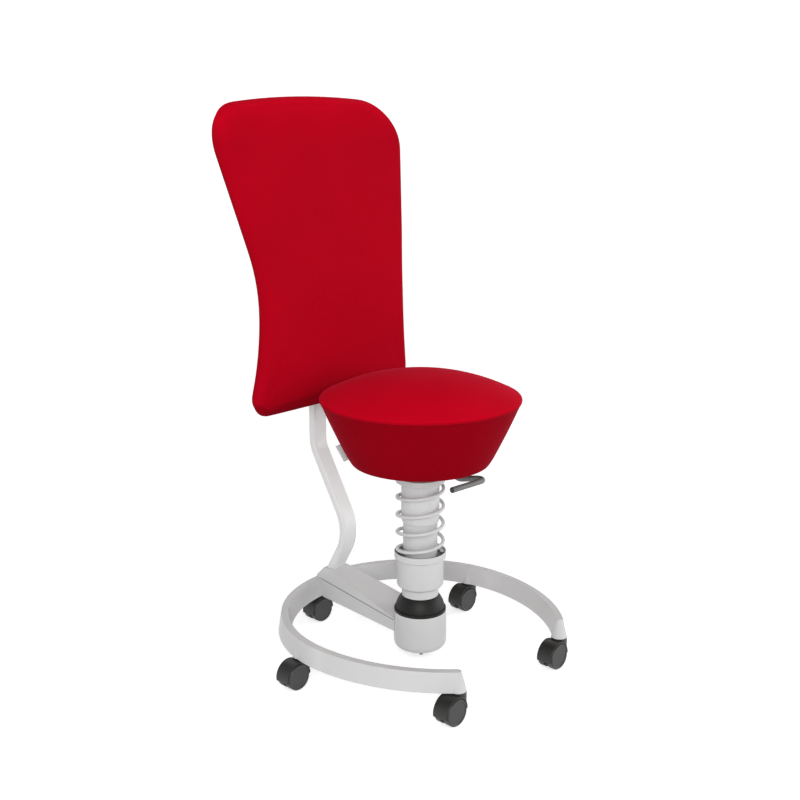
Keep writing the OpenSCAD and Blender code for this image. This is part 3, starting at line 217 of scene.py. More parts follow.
def add(tree, kind, inputs=None, **settings):
    """A node with its settings, its inputs set to values or joined to sockets."""
    node = tree.nodes.new(kind)
    for key, value in settings.items():
        setattr(node, key, value)
    for key, value in (inputs or {}).items():
        if isinstance(value, bpy.types.NodeSocket):
            tree.links.new(value, node.inputs[key])
        else:
            node.inputs[key].default_value = value
    return node


def maths(tree, operation, a, b=0.0, clamp=False):
    return add(tree, "ShaderNodeMath", {0: a, 1: b}, operation=operation, use_clamp=clamp).outputs[0]


def mix_colour(tree, factor, a, b):
    node = tree.nodes.new("ShaderNodeMix")
    node.data_type = "RGBA"
    wanted = {"Factor_Float": factor, "A_Color": a, "B_Color": b}
    for socket in node.inputs:
        if socket.identifier in wanted:
            value = wanted[socket.identifier]
            if isinstance(value, bpy.types.NodeSocket):
                tree.links.new(value, socket)
            else:
                socket.default_value = value
    return [o for o in node.outputs if o.identifier == "Result_Color"][0]


THREAD_SHARE = 0.45                 # of the cloth's tone; the loose fibres give the rest
CLOUD_SHARE = 0.35                  # how far the slow patches of tone reach
CLOTH_ROUGH = 0.78
# Painted light and shade on the cloth: faces that look up are painted lighter, faces that look down darker.
PAINTED_LIGHT_ABOVE = (0.25, 0.85, 0.58)      # the normal's Z where it starts and is full, and what it adds
PAINTED_SHADE_BELOW = (-0.14, -0.40, -0.34)


def painted_light_from(tree, z, start, full, gain):
    return add(tree, "ShaderNodeMapRange", {0: z, 1: start, 2: full, 3: 0.0, 4: gain},
               interpolation_type="SMOOTHSTEP").outputs[0]


def make_weave():
    group, gin, gout = new_group(
        "weave", [("NodeSocketFloat", "Thread", 0.0016), ("NodeSocketColor", "Light", (0.5, 0, 0.02, 1)),
                  ("NodeSocketColor", "Dark", (0.3, 0, 0.01, 1)), ("NodeSocketFloat", "Mottle", 0.4),
                  ("NodeSocketFloat", "Painted Shading", 0.0)],
        [("NodeSocketColor", "Color"), ("NodeSocketFloat", "Height"), ("NodeSocketFloat", "Roughness")])
    place = add(group, "ShaderNodeTexCoord").outputs["Object"]
    normal = add(group, "ShaderNodeNewGeometry").outputs["Normal"]
    split = add(group, "ShaderNodeSeparateXYZ", {0: place})
    facing = add(group, "ShaderNodeSeparateXYZ", {0: normal})
    wave = {}
    for axis in "XYZ":
        turns = maths(group, "DIVIDE", split.outputs[axis], gin.outputs["Thread"])
        wave[axis] = maths(group, "SINE", maths(group, "MULTIPLY", turns, 2 * math.pi))
    total = None
    for axis, (a, b) in {"X": "YZ", "Y": "XZ", "Z": "XY"}.items():
        weight = maths(group, "POWER", maths(group, "ABSOLUTE", facing.outputs[axis]), 4.0)
        part = maths(group, "MULTIPLY", weight, maths(group, "MULTIPLY", wave[a], wave[b]))
        total = part if total is None else maths(group, "ADD", total, part)
    threads = maths(group, "ADD", maths(group, "MULTIPLY", total, 0.5), 0.5, clamp=True)
    fibres = add(group, "ShaderNodeTexNoise",
                 {"Vector": place, "Scale": 900.0, "Detail": 3.0, "Roughness": 0.6})
    cloud = add(group, "ShaderNodeTexNoise", {"Vector": place, "Scale": 9.0, "Detail": 2.0})
    blend = maths(group, "ADD", maths(group, "MULTIPLY", threads, THREAD_SHARE),
                  maths(group, "MULTIPLY", fibres.outputs["Fac"], 1 - THREAD_SHARE))
    mottle = maths(group, "MULTIPLY", maths(group, "SUBTRACT", blend, 0.5), gin.outputs["Mottle"])
    patches = maths(group, "MULTIPLY", maths(group, "SUBTRACT", cloud.outputs["Fac"], 0.5), CLOUD_SHARE)
    soft = maths(group, "ADD", maths(group, "ADD", mottle, 0.5), patches, clamp=True)
    colour = mix_colour(group, soft, gin.outputs["Dark"], gin.outputs["Light"])
    # Painted light and shade: the colour is scaled up where the cloth faces up and down where it faces down.
    painted_shading = maths(group, "ADD", painted_light_from(group, facing.outputs["Z"], *PAINTED_LIGHT_ABOVE),
                painted_light_from(group, facing.outputs["Z"], *PAINTED_SHADE_BELOW))
    gain = maths(group, "ADD", maths(group, "MULTIPLY", painted_shading, gin.outputs["Painted Shading"]), 1.0)
    colour = add(group, "ShaderNodeVectorMath", {0: colour, "Scale": gain}, operation="SCALE").outputs[0]
    rough = maths(group, "ADD", maths(group, "MULTIPLY", fibres.outputs["Fac"], 0.15), CLOTH_ROUGH)
    group.links.new(colour, gout.inputs["Color"])
    group.links.new(blend, gout.inputs["Height"])
    group.links.new(rough, gout.inputs["Roughness"])
    return group


DUST = (0.36, 0.36, 0.37, 1)
DUST_SHARE = 0.10
BRIGHT_EDGE = (0.92, 0.92, 0.92, 1)
EDGE_SHARE = 0.25


def make_paint():
    group, gin, gout = new_group(
        "coat_of_paint", [("NodeSocketColor", "Colour", (0.6, 0.6, 0.6, 1)),
                          ("NodeSocketFloat", "Gloss", 0.6), ("NodeSocketFloat", "Peel", 1.0)],
        [("NodeSocketColor", "Color"), ("NodeSocketFloat", "Height"), ("NodeSocketFloat", "Roughness")])
    place = add(group, "ShaderNodeTexCoord").outputs["Object"]
    peel = add(group, "ShaderNodeTexNoise", {"Vector": place, "Scale": 420.0, "Detail": 1.5})
    cloud = add(group, "ShaderNodeTexNoise", {"Vector": place, "Scale": 14.0, "Detail": 3.0})
    edge = add(group, "ShaderNodeNewGeometry").outputs["Pointiness"]
    worn = maths(group, "MULTIPLY", maths(group, "SUBTRACT", edge, 0.53, clamp=True), 4.0, clamp=True)
    dust = maths(group, "MULTIPLY", cloud.outputs["Fac"], DUST_SHARE)
    dusty = mix_colour(group, dust, gin.outputs["Colour"], DUST)
    colour = mix_colour(group, maths(group, "MULTIPLY", worn, EDGE_SHARE), dusty, BRIGHT_EDGE)
    uneven = maths(group, "MULTIPLY", maths(group, "SUBTRACT", cloud.outputs["Fac"], 0.5), 0.12)
    rough = maths(group, "ADD", maths(group, "SUBTRACT", 1.0, gin.outputs["Gloss"]), uneven)
    group.links.new(colour, gout.inputs["Color"])
    group.links.new(maths(group, "MULTIPLY", peel.outputs["Fac"], gin.outputs["Peel"]), gout.inputs["Height"])
    group.links.new(rough, gout.inputs["Roughness"])
    return group


def make_grain():
    group, gin, gout = new_group(
        "grain", [("NodeSocketColor", "Colour", (0.03, 0.03, 0.03, 1)), ("NodeSocketFloat", "Scale", 700.0),
                  ("NodeSocketFloat", "Base Roughness", 0.5)],
        [("NodeSocketColor", "Color"), ("NodeSocketFloat", "Height"), ("NodeSocketFloat", "Roughness")])
    place = add(group, "ShaderNodeTexCoord").outputs["Object"]
    fine = add(group, "ShaderNodeTexNoise",
               {"Vector": place, "Scale": gin.outputs["Scale"], "Detail": 2.0})
    cloud = add(group, "ShaderNodeTexNoise", {"Vector": place, "Scale": 25.0, "Detail": 3.0})
    lighter = add(group, "ShaderNodeHueSaturation", {"Color": gin.outputs["Colour"], "Value": 1.7})
    patches = maths(group, "MULTIPLY", cloud.outputs["Fac"], 0.6)
    colour = mix_colour(group, patches, gin.outputs["Colour"], lighter.outputs[0])
    uneven = maths(group, "MULTIPLY", maths(group, "SUBTRACT", cloud.outputs["Fac"], 0.5), 0.2)
    rough = maths(group, "ADD", gin.outputs["Base Roughness"], uneven)
    group.links.new(colour, gout.inputs["Color"])
    group.links.new(fine.outputs["Fac"], gout.inputs["Height"])
    group.links.new(rough, gout.inputs["Roughness"])
    return group


WEAVE, PAINT, GRAIN = make_weave(), make_paint(), make_grain()
print("node groups:", WEAVE.name, PAINT.name, GRAIN.name)

# %% [markdown]
# Each material is one principled shader. The group feeds its colour, roughness and bump, and the
# constant traits, such as sheen or metal, are set on the shader itself. CAD parts have sharp
# edges, so their materials round the shading of an edge over a millimetre, as paint and moulding do.


# %% Materials
def material(name, group, values, bump=0.0005, strength=0.3, edge=0.0, **constants):
    made = bpy.data.materials.new(name)
    made.use_nodes = True
    tree = made.node_tree
    shader = tree.nodes["Principled BSDF"]
    effect = tree.nodes.new("ShaderNodeGroup")
    effect.node_tree = group
    for key, value in values.items():
        effect.inputs[key].default_value = value
    for key, value in constants.items():
        shader.inputs[key.replace("_", " ")].default_value = value
    tree.links.new(effect.outputs["Color"], shader.inputs["Base Color"])
    tree.links.new(effect.outputs["Roughness"], shader.inputs["Roughness"])
    relief = add(tree, "ShaderNodeBump",
                 {"Height": effect.outputs["Height"], "Strength": strength, "Distance": bump})
    if edge:
        rounded = add(tree, "ShaderNodeBevel", {"Radius": edge}, samples=6)
        tree.links.new(rounded.outputs[0], relief.inputs["Normal"])
    tree.links.new(relief.outputs[0], shader.inputs["Normal"])
    return made


def powder_coat(name, level, strength=0.15, edge=0.0012):
    """A powder coat in one grey."""
    return material(name, PAINT, {"Colour": (level, level, level, 1), "Gloss": 0.62},
                    bump=0.0002, strength=strength, edge=edge)


paint = powder_coat("light_grey_paint", 0.58)
# The bar's coat is the grey paint painted lighter, for light that falls on it; the tube's is painted darker,
# for shade.
bar_paint_painted_light = powder_coat("grey_paint_painted_light", 0.72)
tube_paint_painted_shade = powder_coat("grey_paint_painted_shade", 0.49)
fine_paint = powder_coat("light_grey_paint_on_wire", 0.58, strength=0.1, edge=0.0)
dark_paint = material("dark_grey_paint", PAINT, {"Colour": (0.06, 0.06, 0.058, 1), "Gloss": 0.65},
                      bump=0.0002, strength=0.2, edge=0.0008)
lever_paint = material("mid_grey_paint", PAINT, {"Colour": (0.115, 0.115, 0.113, 1), "Gloss": 0.6},
                       bump=0.0002, strength=0.1, edge=0.0004)
steel = material("bare_steel", GRAIN,
                 {"Colour": (0.42, 0.42, 0.43, 1), "Scale": 900.0, "Base Roughness": 0.32},
                 bump=0.0001, strength=0.2, edge=0.0005, Metallic=1.0)
black_plastic = material("black_plastic", GRAIN,
                         {"Colour": (0.007, 0.007, 0.006, 1), "Base Roughness": 0.42},
                         bump=0.0002, strength=0.2, edge=0.0012)
wheel_plastic = material("dark_grey_plastic", GRAIN,
                         {"Colour": (0.017, 0.018, 0.018, 1), "Base Roughness": 0.46},
                         bump=0.0002, strength=0.2, edge=0.0012)
rubber = material("black_rubber", GRAIN,
                  {"Colour": (0.006, 0.006, 0.0055, 1), "Scale": 500.0, "Base Roughness": 0.5},
                  bump=0.0002, strength=0.3, edge=0.001, Specular_IOR_Level=0.28)
plywood = material("plywood", GRAIN,
                   {"Colour": (0.42, 0.28, 0.15, 1), "Scale": 120.0, "Base Roughness": 0.7},
                   bump=0.0003, strength=0.4)
# The red cloth carries painted light and shade: lighter where it faces up, darker where it faces down.
red_cloth = material("red_woven_cloth", WEAVE,
                     {"Light": (0.47, 0.0008, 0.011, 1), "Dark": (0.275, 0.0004, 0.0060, 1), "Painted Shading": 1.0},
                     bump=0.0004, strength=0.35, Sheen_Weight=0.14, Sheen_Roughness=0.3,
                     Sheen_Tint=(1.0, 0.10, 0.22, 1), Specular_IOR_Level=0.02)
tag_cloth = material("grey_tag_cloth", WEAVE,
                     {"Light": (0.60, 0.60, 0.60, 1), "Dark": (0.44, 0.44, 0.45, 1), "Thread": 0.0008},
                     bump=0.0002, strength=0.3)

FLOOR_GLOW = 0.57      # what the floor adds for the camera and for reflections, to be white
floor_paint = bpy.data.materials.new("white_floor")
floor_paint.use_nodes = True
floor_tree = floor_paint.node_tree
floor_shader = floor_tree.nodes["Principled BSDF"]
floor_shader.inputs["Base Color"].default_value = (0.88, 0.88, 0.88, 1)
floor_shader.inputs["Roughness"].default_value = 0.9
floor_shader.inputs["Specular IOR Level"].default_value = 0.1
floor_shader.inputs["Emission Color"].default_value = (1, 1, 1, 1)
seen = floor_tree.nodes.new("ShaderNodeLightPath")
plainly = maths(floor_tree, "MAXIMUM", seen.outputs["Is Camera Ray"], seen.outputs["Is Glossy Ray"])
glow = maths(floor_tree, "MULTIPLY", plainly, FLOOR_GLOW)
floor_tree.links.new(glow, floor_shader.inputs["Emission Strength"])
floor_mesh.materials.append(floor_paint)

# The bar and the guide tube get the copies of the grey paint with painted light and painted shade.
BY_NODE = {"back_bar": bar_paint_painted_light, "guide_tube": tube_paint_painted_shade}
BY_SLOT = {"paint": paint, "steel": steel, "dark_steel": dark_paint, "black_plastic": black_plastic,
           "wheel_plastic": wheel_plastic, "black_rubber": rubber, "red_fabric": red_cloth,
           "plywood": plywood}
for part in frame["record"]["subparts"]:
    mesh = nodes[part["node"]].data
    mesh.materials.clear()
    mesh.materials.append(BY_NODE.get(part["node"], BY_SLOT[part["material_slot"]]))

# %% [markdown]
# ## Building soft pieces
#
# Both cushions are made of rings of points, one inside the other, joined by quads. A ring keeps
# its number of points from the back of the cushion to the middle of its face, so seams can follow
# the rings. The cloth is then inflated a little while its hems are held.


# %% Mesh helpers
def mesh_object(name, points, faces, look, smooth=True):
    mesh = bpy.data.meshes.new(name)
    mesh.from_pydata([tuple(p) for p in points], [], faces)
    mesh.validate()
    for polygon in mesh.polygons:
        polygon.use_smooth = smooth
    mesh.materials.append(look)
    made = bpy.data.objects.new(name, mesh)
    bpy.context.scene.collection.objects.link(made)
    return made


def join_rings(rings, close_first=False, close_last=False):
    """Points and faces of a skin through rings of equal length. A closed end gets a middle point."""
    n = len(rings[0])
    points = [p for ring in rings for p in ring]
    faces = []
    for i in range(len(rings) - 1):
        for j in range(n):
            k = (j + 1) % n
            faces.append((i * n + j, i * n + k, (i + 1) * n + k, (i + 1) * n + j))
    if close_first:
        points.append(sum((Vector(p) for p in rings[0]), Vector()) / n)
        faces += [((j + 1) % n, j, len(points) - 1) for j in range(n)]
    if close_last:
        start = (len(rings) - 1) * n
        points.append(sum((Vector(p) for p in rings[-1]), Vector()) / n)
        faces += [(start + j, start + (j + 1) % n, len(points) - 1) for j in range(n)]
    return points, faces


CLOTH_FRAMES = 20


def inflate(piece, held, pressure, cap):
    """Blows the cloth up a little, as foam does. The held points stay and none moves past the cap."""
    before = np.array([v.co for v in piece.data.vertices])
    group = piece.vertex_groups.new(name="held")
    group.add([int(i) for i in held], 1.0, "REPLACE")
    bpy.context.view_layer.objects.active = piece
    cloth = piece.modifiers.new("cloth", "CLOTH")
    settings = cloth.settings
    settings.quality = 4
    settings.mass = 0.3
    settings.tension_stiffness = settings.compression_stiffness = 30
    settings.shear_stiffness = 15
    settings.bending_stiffness = 3
    settings.use_pressure = True
    settings.uniform_pressure_force = pressure
    settings.vertex_group_mass = "held"
    settings.effector_weights.gravity = 0
    cloth.point_cache.frame_start = 1
    cloth.point_cache.frame_end = CLOTH_FRAMES
    for step in range(1, CLOTH_FRAMES + 1):
        bpy.context.scene.frame_set(step)
    graph = bpy.context.evaluated_depsgraph_get()
    after = np.array([v.co for v in piece.evaluated_get(graph).data.vertices])
    piece.modifiers.remove(cloth)
    bpy.context.scene.frame_set(1)
    move = after - before
    size = np.linalg.norm(move, axis=1, keepdims=True)
    move *= cap * np.tanh(size / cap) / np.maximum(size, 1e-9)
    piece.data.vertices.foreach_set("co", (before + move).astype(np.float32).ravel())
    piece.data.update()
    return float(np.linalg.norm(move, axis=1).max() * 1000)


def outward(piece):
    """Turns all the faces to the outside."""
    work = bmesh.new()
    work.from_mesh(piece.data)
    bmesh.ops.recalc_face_normals(work, faces=work.faces)
    work.to_mesh(piece.data)
    work.free()


def subdivide(piece):
    modifier = piece.modifiers.new("smooth", "SUBSURF")
    modifier.levels = modifier.render_levels = 1


# %% [markdown]
# ## Seat
#
# The seat is a cone that widens upwards, with a low dome on top. One cover goes over the dome,
# round a soft rim, down the cone and under to the hole for the bracket. The rim is rounded
# because the foam under it is, and the foam fills the side out a little at half height.

# %% Seat cover
SEAT_LOW_R = 132
SEAT_RIM_R = 190
SEAT_DOME_H = 45
DOME_POWER = 2.15
SIDE_SWELL = 1.8                      # how far the foam fills the side out at half height
SIDE_FROM, SIDE_TO, SIDE_STEPS = 0.04, 0.925, 14
RIM_OUT, RIM_DOWN = 4.2, 0.5          # the corner that the rim's curve is drawn towards
SEAT_SIDES = 144
# radius, and height above the foot, from the hole underneath outwards
UNDERSIDE = ((95.5, 34), (95.5, 5), (97, 0.3), (103, -1.3), (117, -1.5), (126.5, -1.4), (130.2, -0.4),
             (132.2, 2.2))
DOME_RADII = (182.5, 178, 172, 164, 154, 142, 129, 115, 100, 84, 67, 50, 33, 17)
seat_z0 = node_z("seat_ring")[0]
seat_top = node_z("seat_cushion")[1]
seat_rim_z = seat_top - SEAT_DOME_H
seat_side_h = seat_rim_z - seat_z0


def side_r(k):
    """Radius of the side, from its foot (0) to the rim (1): a straight cone, filled out a little."""
    return SEAT_LOW_R + (SEAT_RIM_R - SEAT_LOW_R) * k + SIDE_SWELL * 4 * k * (1 - k)


def seat_profile():
    """Radius and height from the hole underneath, out, up the side and over to the middle."""
    line = [(r, seat_z0 + rise) for r, rise in UNDERSIDE]
    for i in range(1, SIDE_STEPS + 1):
        k = SIDE_FROM + (SIDE_TO - SIDE_FROM) * i / SIDE_STEPS
        line.append((side_r(k), seat_z0 + seat_side_h * k))
    dome = [(r, seat_top - SEAT_DOME_H * (r / (SEAT_RIM_R - 2)) ** DOME_POWER) for r in DOME_RADII]
    a, b = Vector(line[-1]), Vector(dome[0])
    corner = Vector((SEAT_RIM_R + RIM_OUT, seat_rim_z - RIM_DOWN))
    for t in (0.16, 0.32, 0.5, 0.68, 0.84):
        point = a * (1 - t) ** 2 + corner * 2 * t * (1 - t) + b * t ** 2
        line.append((point.x, point.y))
    return line + dome


seat_line = seat_profile()
seat_rings = [[at(r * math.cos(2 * math.pi * j / SEAT_SIDES), r * math.sin(2 * math.pi * j / SEAT_SIDES), z)
               for j in range(SEAT_SIDES)] for r, z in seat_line]
points, faces = join_rings(seat_rings, close_last=True)
seat_cover = mesh_object("seat_cover", points, faces, red_cloth)
outward(seat_cover)
held = [i * SEAT_SIDES + j for i in range(len(UNDERSIDE)) for j in range(SEAT_SIDES)]
swell = inflate(seat_cover, held, pressure=1.2, cap=0.0025)
subdivide(seat_cover)
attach(seat_cover, "seat")
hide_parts("seat_cushion", "seat_ring")
print("seat cover:", len(points), "points, swelled by", round(swell, 2), "mm")

# %% [markdown]
# ## Backrest
#
# The outline is an hourglass: straight sides that lean outwards above, a waist at 680 mm, and
# a slight flare below. In profile the face comes forward at the lumbar and leans back above. The
# same two curves give both halves: the padded front, which is rounded over its edge into a
# shallow crown, and the rear cover, which is rounded off round the shell. The upper edge rises
# towards its middle and curls back a little.

# %% Backrest curves
back_low, back_high = node_z("back_cushion")
WAIST_Z = 680                        # outline: the narrowest level, and the curves on both sides of it
WAIST_HALF = 190
WAIST_LOW_R = 794
WAIST_UP_R = 493
SIDE_LEAN = math.radians(11.7)
LUMBAR_Z = 655                       # profile: the level that stands furthest forward
LUMBAR_LOW_R = 1300
LUMBAR_UP_R = 675
BACK_LEAN = math.radians(12.4)
BACK_CURL = 25                       # how far the top curls back, and over which height
CURL_H = 112
TOP_CROWN = 19                       # how far the middle of the upper edge rises above its ends
CORNER_TOP_R = 80
CORNER_LOW_R = 38
PAD_T = 21                           # depth of the padded front, and of the whole backrest
PANEL_T = 38
BAND_W = 17                          # width of the rounded edge
BAR_HALF_T = 9
CARRIER_GAP = 25.5
cap_low, cap_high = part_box("bar_cap")
BAR_Y = ((cap_low.y + cap_high.y) / 2 - AXIS_Y) * 1000
LUMBAR_Y = BAR_Y - BAR_HALF_T - CARRIER_GAP - PANEL_T


def face_y(z):
    end = LUMBAR_Z + LUMBAR_UP_R * math.sin(BACK_LEAN)
    if z < LUMBAR_Z:
        return LUMBAR_Y + (LUMBAR_Z - z) ** 2 / (2 * LUMBAR_LOW_R)
    if z < end:
        return LUMBAR_Y + LUMBAR_UP_R - math.sqrt(LUMBAR_UP_R ** 2 - (z - LUMBAR_Z) ** 2)
    curl = BACK_CURL * max(0, (z - back_high + CURL_H) / CURL_H) ** 2
    return LUMBAR_Y + LUMBAR_UP_R * (1 - math.cos(BACK_LEAN)) + (z - end) * math.tan(BACK_LEAN) + curl


def half_w(z):
    end = WAIST_Z + WAIST_UP_R * math.sin(SIDE_LEAN)
    if z < WAIST_Z:
        return WAIST_HALF + (WAIST_Z - z) ** 2 / (2 * WAIST_LOW_R)
    if z < end:
        return WAIST_HALF + WAIST_UP_R - math.sqrt(WAIST_UP_R ** 2 - (z - WAIST_Z) ** 2)
    return WAIST_HALF + WAIST_UP_R * (1 - math.cos(SIDE_LEAN)) + (z - end) * math.tan(SIDE_LEAN)


def top_edge(x):
    """Height and slope of the crowned upper edge at a distance from the middle."""
    k = TOP_CROWN / half_w(back_high) ** 2
    return back_high - k * x * x, math.atan(2 * k * x)


def upper_corner():
    """Centre of the upper corner's arc, and the slope where it meets the upper edge."""
    x, z, slope = 0.0, back_high - CORNER_TOP_R, 0.0
    for step in range(6):
        x = half_w(z) - CORNER_TOP_R / math.cos(SIDE_LEAN)
        slope = top_edge(x + CORNER_TOP_R * math.sin(slope))[1]
        z = top_edge(x + CORNER_TOP_R * math.sin(slope))[0] - CORNER_TOP_R * math.cos(slope)
    return x, z, slope


def outline(inset, corner_steps=12, side_steps=60, edge_steps=44):
    """Points round the backrest, drawn in by an inset, starting at the lower edge's left end."""
    low_z = back_low + CORNER_LOW_R
    low_lean = math.atan((WAIST_Z - low_z) / WAIST_LOW_R)
    low_x = half_w(low_z) - CORNER_LOW_R / math.cos(low_lean)
    top_x, top_z, slope = upper_corner()
    half = []
    for i in range(1, corner_steps + 1):
        a = -math.pi / 2 + (math.pi / 2 + low_lean) * i / corner_steps
        r = CORNER_LOW_R - inset
        half.append((low_x + r * math.cos(a), low_z + r * math.sin(a)))
    z0 = low_z + CORNER_LOW_R * math.sin(low_lean)
    z1 = top_z - CORNER_TOP_R * math.sin(SIDE_LEAN)
    for i in range(1, side_steps + 1):
        z = z0 + (z1 - z0) * i / (side_steps + 1)
        half.append((half_w(z) - inset, z))
    for i in range(corner_steps + 1):
        a = -SIDE_LEAN + (math.pi / 2 - slope + SIDE_LEAN) * i / corner_steps
        r = CORNER_TOP_R - inset
        half.append((top_x + r * math.cos(a), top_z + r * math.sin(a)))
    low = [(half[0][0] * (2 * k / edge_steps - 1), back_low + inset) for k in range(1, edge_steps)]
    high = [half[-1][0] * (1 - 2 * k / edge_steps) for k in range(1, edge_steps)]
    high = [(x, top_edge(x)[0] - inset) for x in high]
    return low + half + high + [(-x, z) for x, z in reversed(half)]


def back_ring(inset, depth, shrink=1.0):
    middle = (back_low + back_high) / 2
    ring = []
    for x, z in outline(inset):
        z = middle + (z - middle) * shrink
        ring.append(at(x * shrink, face_y(z) + depth, z))
    return ring


# %% [markdown]
# The padded front starts at its hem behind the edge, turns round the edge in a quarter of an
# ellipse and runs over the face, which rises a little all the way to its middle.

# %% Padded front
FACE_STEPS = (0.96, 0.91, 0.84, 0.76, 0.68, 0.6, 0.52, 0.44, 0.36, 0.28, 0.2, 0.12, 0.05)
FACE_EDGE = 1.3                      # depth of the face's rim, and how far its middle rises
FACE_CROWN = 2.6
edge_turn = [(BAND_W * (1 - math.cos(a)), PAD_T - 1 - (PAD_T - 3.5) * math.sin(a))
             for a in np.radians(np.arange(0, 91, 11.25))]
front_rings = [back_ring(6, PAD_T), back_ring(2.5, PAD_T)] + [back_ring(i, d) for i, d in edge_turn]
front_rings += [back_ring(BAND_W + 3, 1.9), back_ring(BAND_W + 7, FACE_EDGE)]
for s in FACE_STEPS:
    front_rings.append(back_ring(BAND_W + 7, FACE_EDGE - FACE_CROWN * (1 - s * s), s))
points, faces = join_rings(front_rings, close_last=True)
back_front = mesh_object("back_front_cover", points, faces, red_cloth)
outward(back_front)
count = len(front_rings[0])
held = [i * count + j for i in (0, 1, 2) for j in range(count)]
swell = inflate(back_front, held, pressure=0.8, cap=0.002)
subdivide(back_front)
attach(back_front, "base")
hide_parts("back_cushion")
print("front cover:", len(points), "points, swelled by", round(swell, 2), "mm")

# %% [markdown]
# The rear cover comes out of the groove behind the padded edge, goes round the shell's edge and
# lies over its back. It isn't inflated, because the shell under it is stiff.

# %% Rear cover
REAR_STEPS = (0.95, 0.88, 0.8, 0.7, 0.6, 0.5, 0.4, 0.3, 0.2, 0.1)
REAR_INSET = 22
REAR_LIFT = 0.8                      # how far the cloth stands off the shell at its rim
rear_turn = [(5.4, PAD_T + 0.3), (5.0, PAD_T + 1.5), (5.2, PAD_T + 6), (6.2, PAD_T + 9), (8.6, PAD_T + 12.5),
             (11.2, PAD_T + 15.2), (13.4, PANEL_T - 0.1), (16.5, PANEL_T + 0.5),
             (REAR_INSET, PANEL_T + REAR_LIFT)]
rear_rings = [back_ring(16, PAD_T + 0.3)] + [back_ring(i, d) for i, d in rear_turn]
for s in REAR_STEPS:
    rear_rings.append(back_ring(REAR_INSET, PANEL_T + REAR_LIFT * s, s))
points, faces = join_rings(rear_rings, close_last=True)
back_rear = mesh_object("back_rear_cover", points, faces, red_cloth)
outward(back_rear)
subdivide(back_rear)
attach(back_rear, "base")
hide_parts("back_shell")
print("rear cover:", len(points), "points")

# %% [markdown]
# ## Spring
#
# The spring is one painted wire, wound right-handed, flat at both ends and open between. The CAD
# tube has few sides, so a smooth one replaces it.

# %% Spring
WIRE_R = 3.5
SPRING_R = 44.1
TURNS = 4.375
DEAD = 0.15                          # share of a turn that lies flat at each end
START = math.radians(-28)
STEPS_PER_TURN = 64
LEAD = 0.007                         # the wire's straight ends, in metres
spring_low, spring_high = node_z("coil_spring")
spring_low, spring_high = spring_low + WIRE_R, spring_high - WIRE_R


def spring_point(turn_at):
    rise = min(max((turn_at - DEAD) / (TURNS - 2 * DEAD), 0), 1)
    angle = START + 2 * math.pi * turn_at
    level = spring_low + (spring_high - spring_low) * rise
    return at(SPRING_R * math.cos(angle), SPRING_R * math.sin(angle), level)


def swept(path, radii, sides, normal=None):
    """Rings along a list of points, each square to the path and turned as little as can be."""
    rings = []
    for i, p in enumerate(path):
        tangent = (path[min(i + 1, len(path) - 1)] - path[max(i - 1, 0)]).normalized()
        if normal is None:
            normal = tangent.orthogonal().normalized()
        normal = (normal - tangent * normal.dot(tangent)).normalized()
        across = tangent.cross(normal)
        rings.append([p + radii[i] * (math.cos(2 * math.pi * k / sides) * normal
                                      + math.sin(2 * math.pi * k / sides) * across)
                      for k in range(sides)])
    return rings


def closed_skin(name, rings, look, smooth=True):
    """A piece through rings, closed at both ends."""
    points, faces = join_rings(rings, close_first=True, close_last=True)
    made = mesh_object(name, points, faces, look, smooth)
    outward(made)
    return made


def tube(name, path, radius, look, sides=16):
    return closed_skin(name, swept(path, [radius] * len(path), sides), look)


wire = [spring_point(i / STEPS_PER_TURN) for i in range(int(TURNS * STEPS_PER_TURN) + 1)]
lead_in = (wire[0] - wire[1]).normalized() * LEAD
lead_out = (wire[-1] - wire[-2]).normalized() * LEAD
wire = [wire[0] + lead_in] + wire + [wire[-1] + lead_out]
spring = tube("spring_wire", wire, WIRE_R / 1000, fine_paint)
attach(spring, "column")
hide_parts("coil_spring")
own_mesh(spring)

# %% [markdown]
# ## Seam of the bracket
#
# The bracket is bolted onto the arm. The shade in the joint between them is painted with a thin
# dark strip on each side, from the ring down to the hub.

# %% Seam shade strips
ARM_TIP = (30, 43.9, 77.1)           # behind the axis, half the arm's width, and height
ARM_END = (258, 19.3, 92.8)
SHADE_STRIP_R = 0.5
SHADE_STRIP_OUT = 0.1
SHADE_STRIP_STEPS = 12
# Each side gets a thin dark tube along the joint, painted shade for the gap.
for side, shade_strip_name in ((-1, "seam_painted_shade_right"), (1, "seam_painted_shade_left")):
    ends = [at(side * (half + SHADE_STRIP_OUT), y, z) for y, half, z in (ARM_TIP, ARM_END)]
    line = [ends[0].lerp(ends[1], i / SHADE_STRIP_STEPS) for i in range(SHADE_STRIP_STEPS + 1)]
    seam_shade_strip = tube(shade_strip_name, line, SHADE_STRIP_R / 1000, rubber, sides=8)
    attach(seam_shade_strip, "base")
print("seam shade strips:", round((ends[1] - ends[0]).length * 1000), "mm long")

# %% [markdown]
# ## Lever
#
# The height lever is one bent rod with a boss on the seat's cross pin and a flat tongue over the
# valve. It goes down and out to the sitter's left, turns back under the seat and ends in a cut
# face. The CAD rod has twelve sides, so a smooth one is swept along the same corners.


# %% Lever
def fillet(corners, i, radius, steps=14):
    """Points of the round bend that replaces corner i."""
    before = (corners[i - 1] - corners[i]).normalized()
    after = (corners[i + 1] - corners[i]).normalized()
    half = before.angle(after) / 2
    centre = corners[i] + (before + after).normalized() * radius / math.sin(half)
    start = corners[i] + before * radius / math.tan(half) - centre
    end = corners[i] + after * radius / math.tan(half) - centre
    sweep = start.angle(end)
    bend = []
    for k in range(steps + 1):
        share = k / steps
        spoke = math.sin((1 - share) * sweep) * start + math.sin(share * sweep) * end
        bend.append(centre + spoke / math.sin(sweep))
    return bend


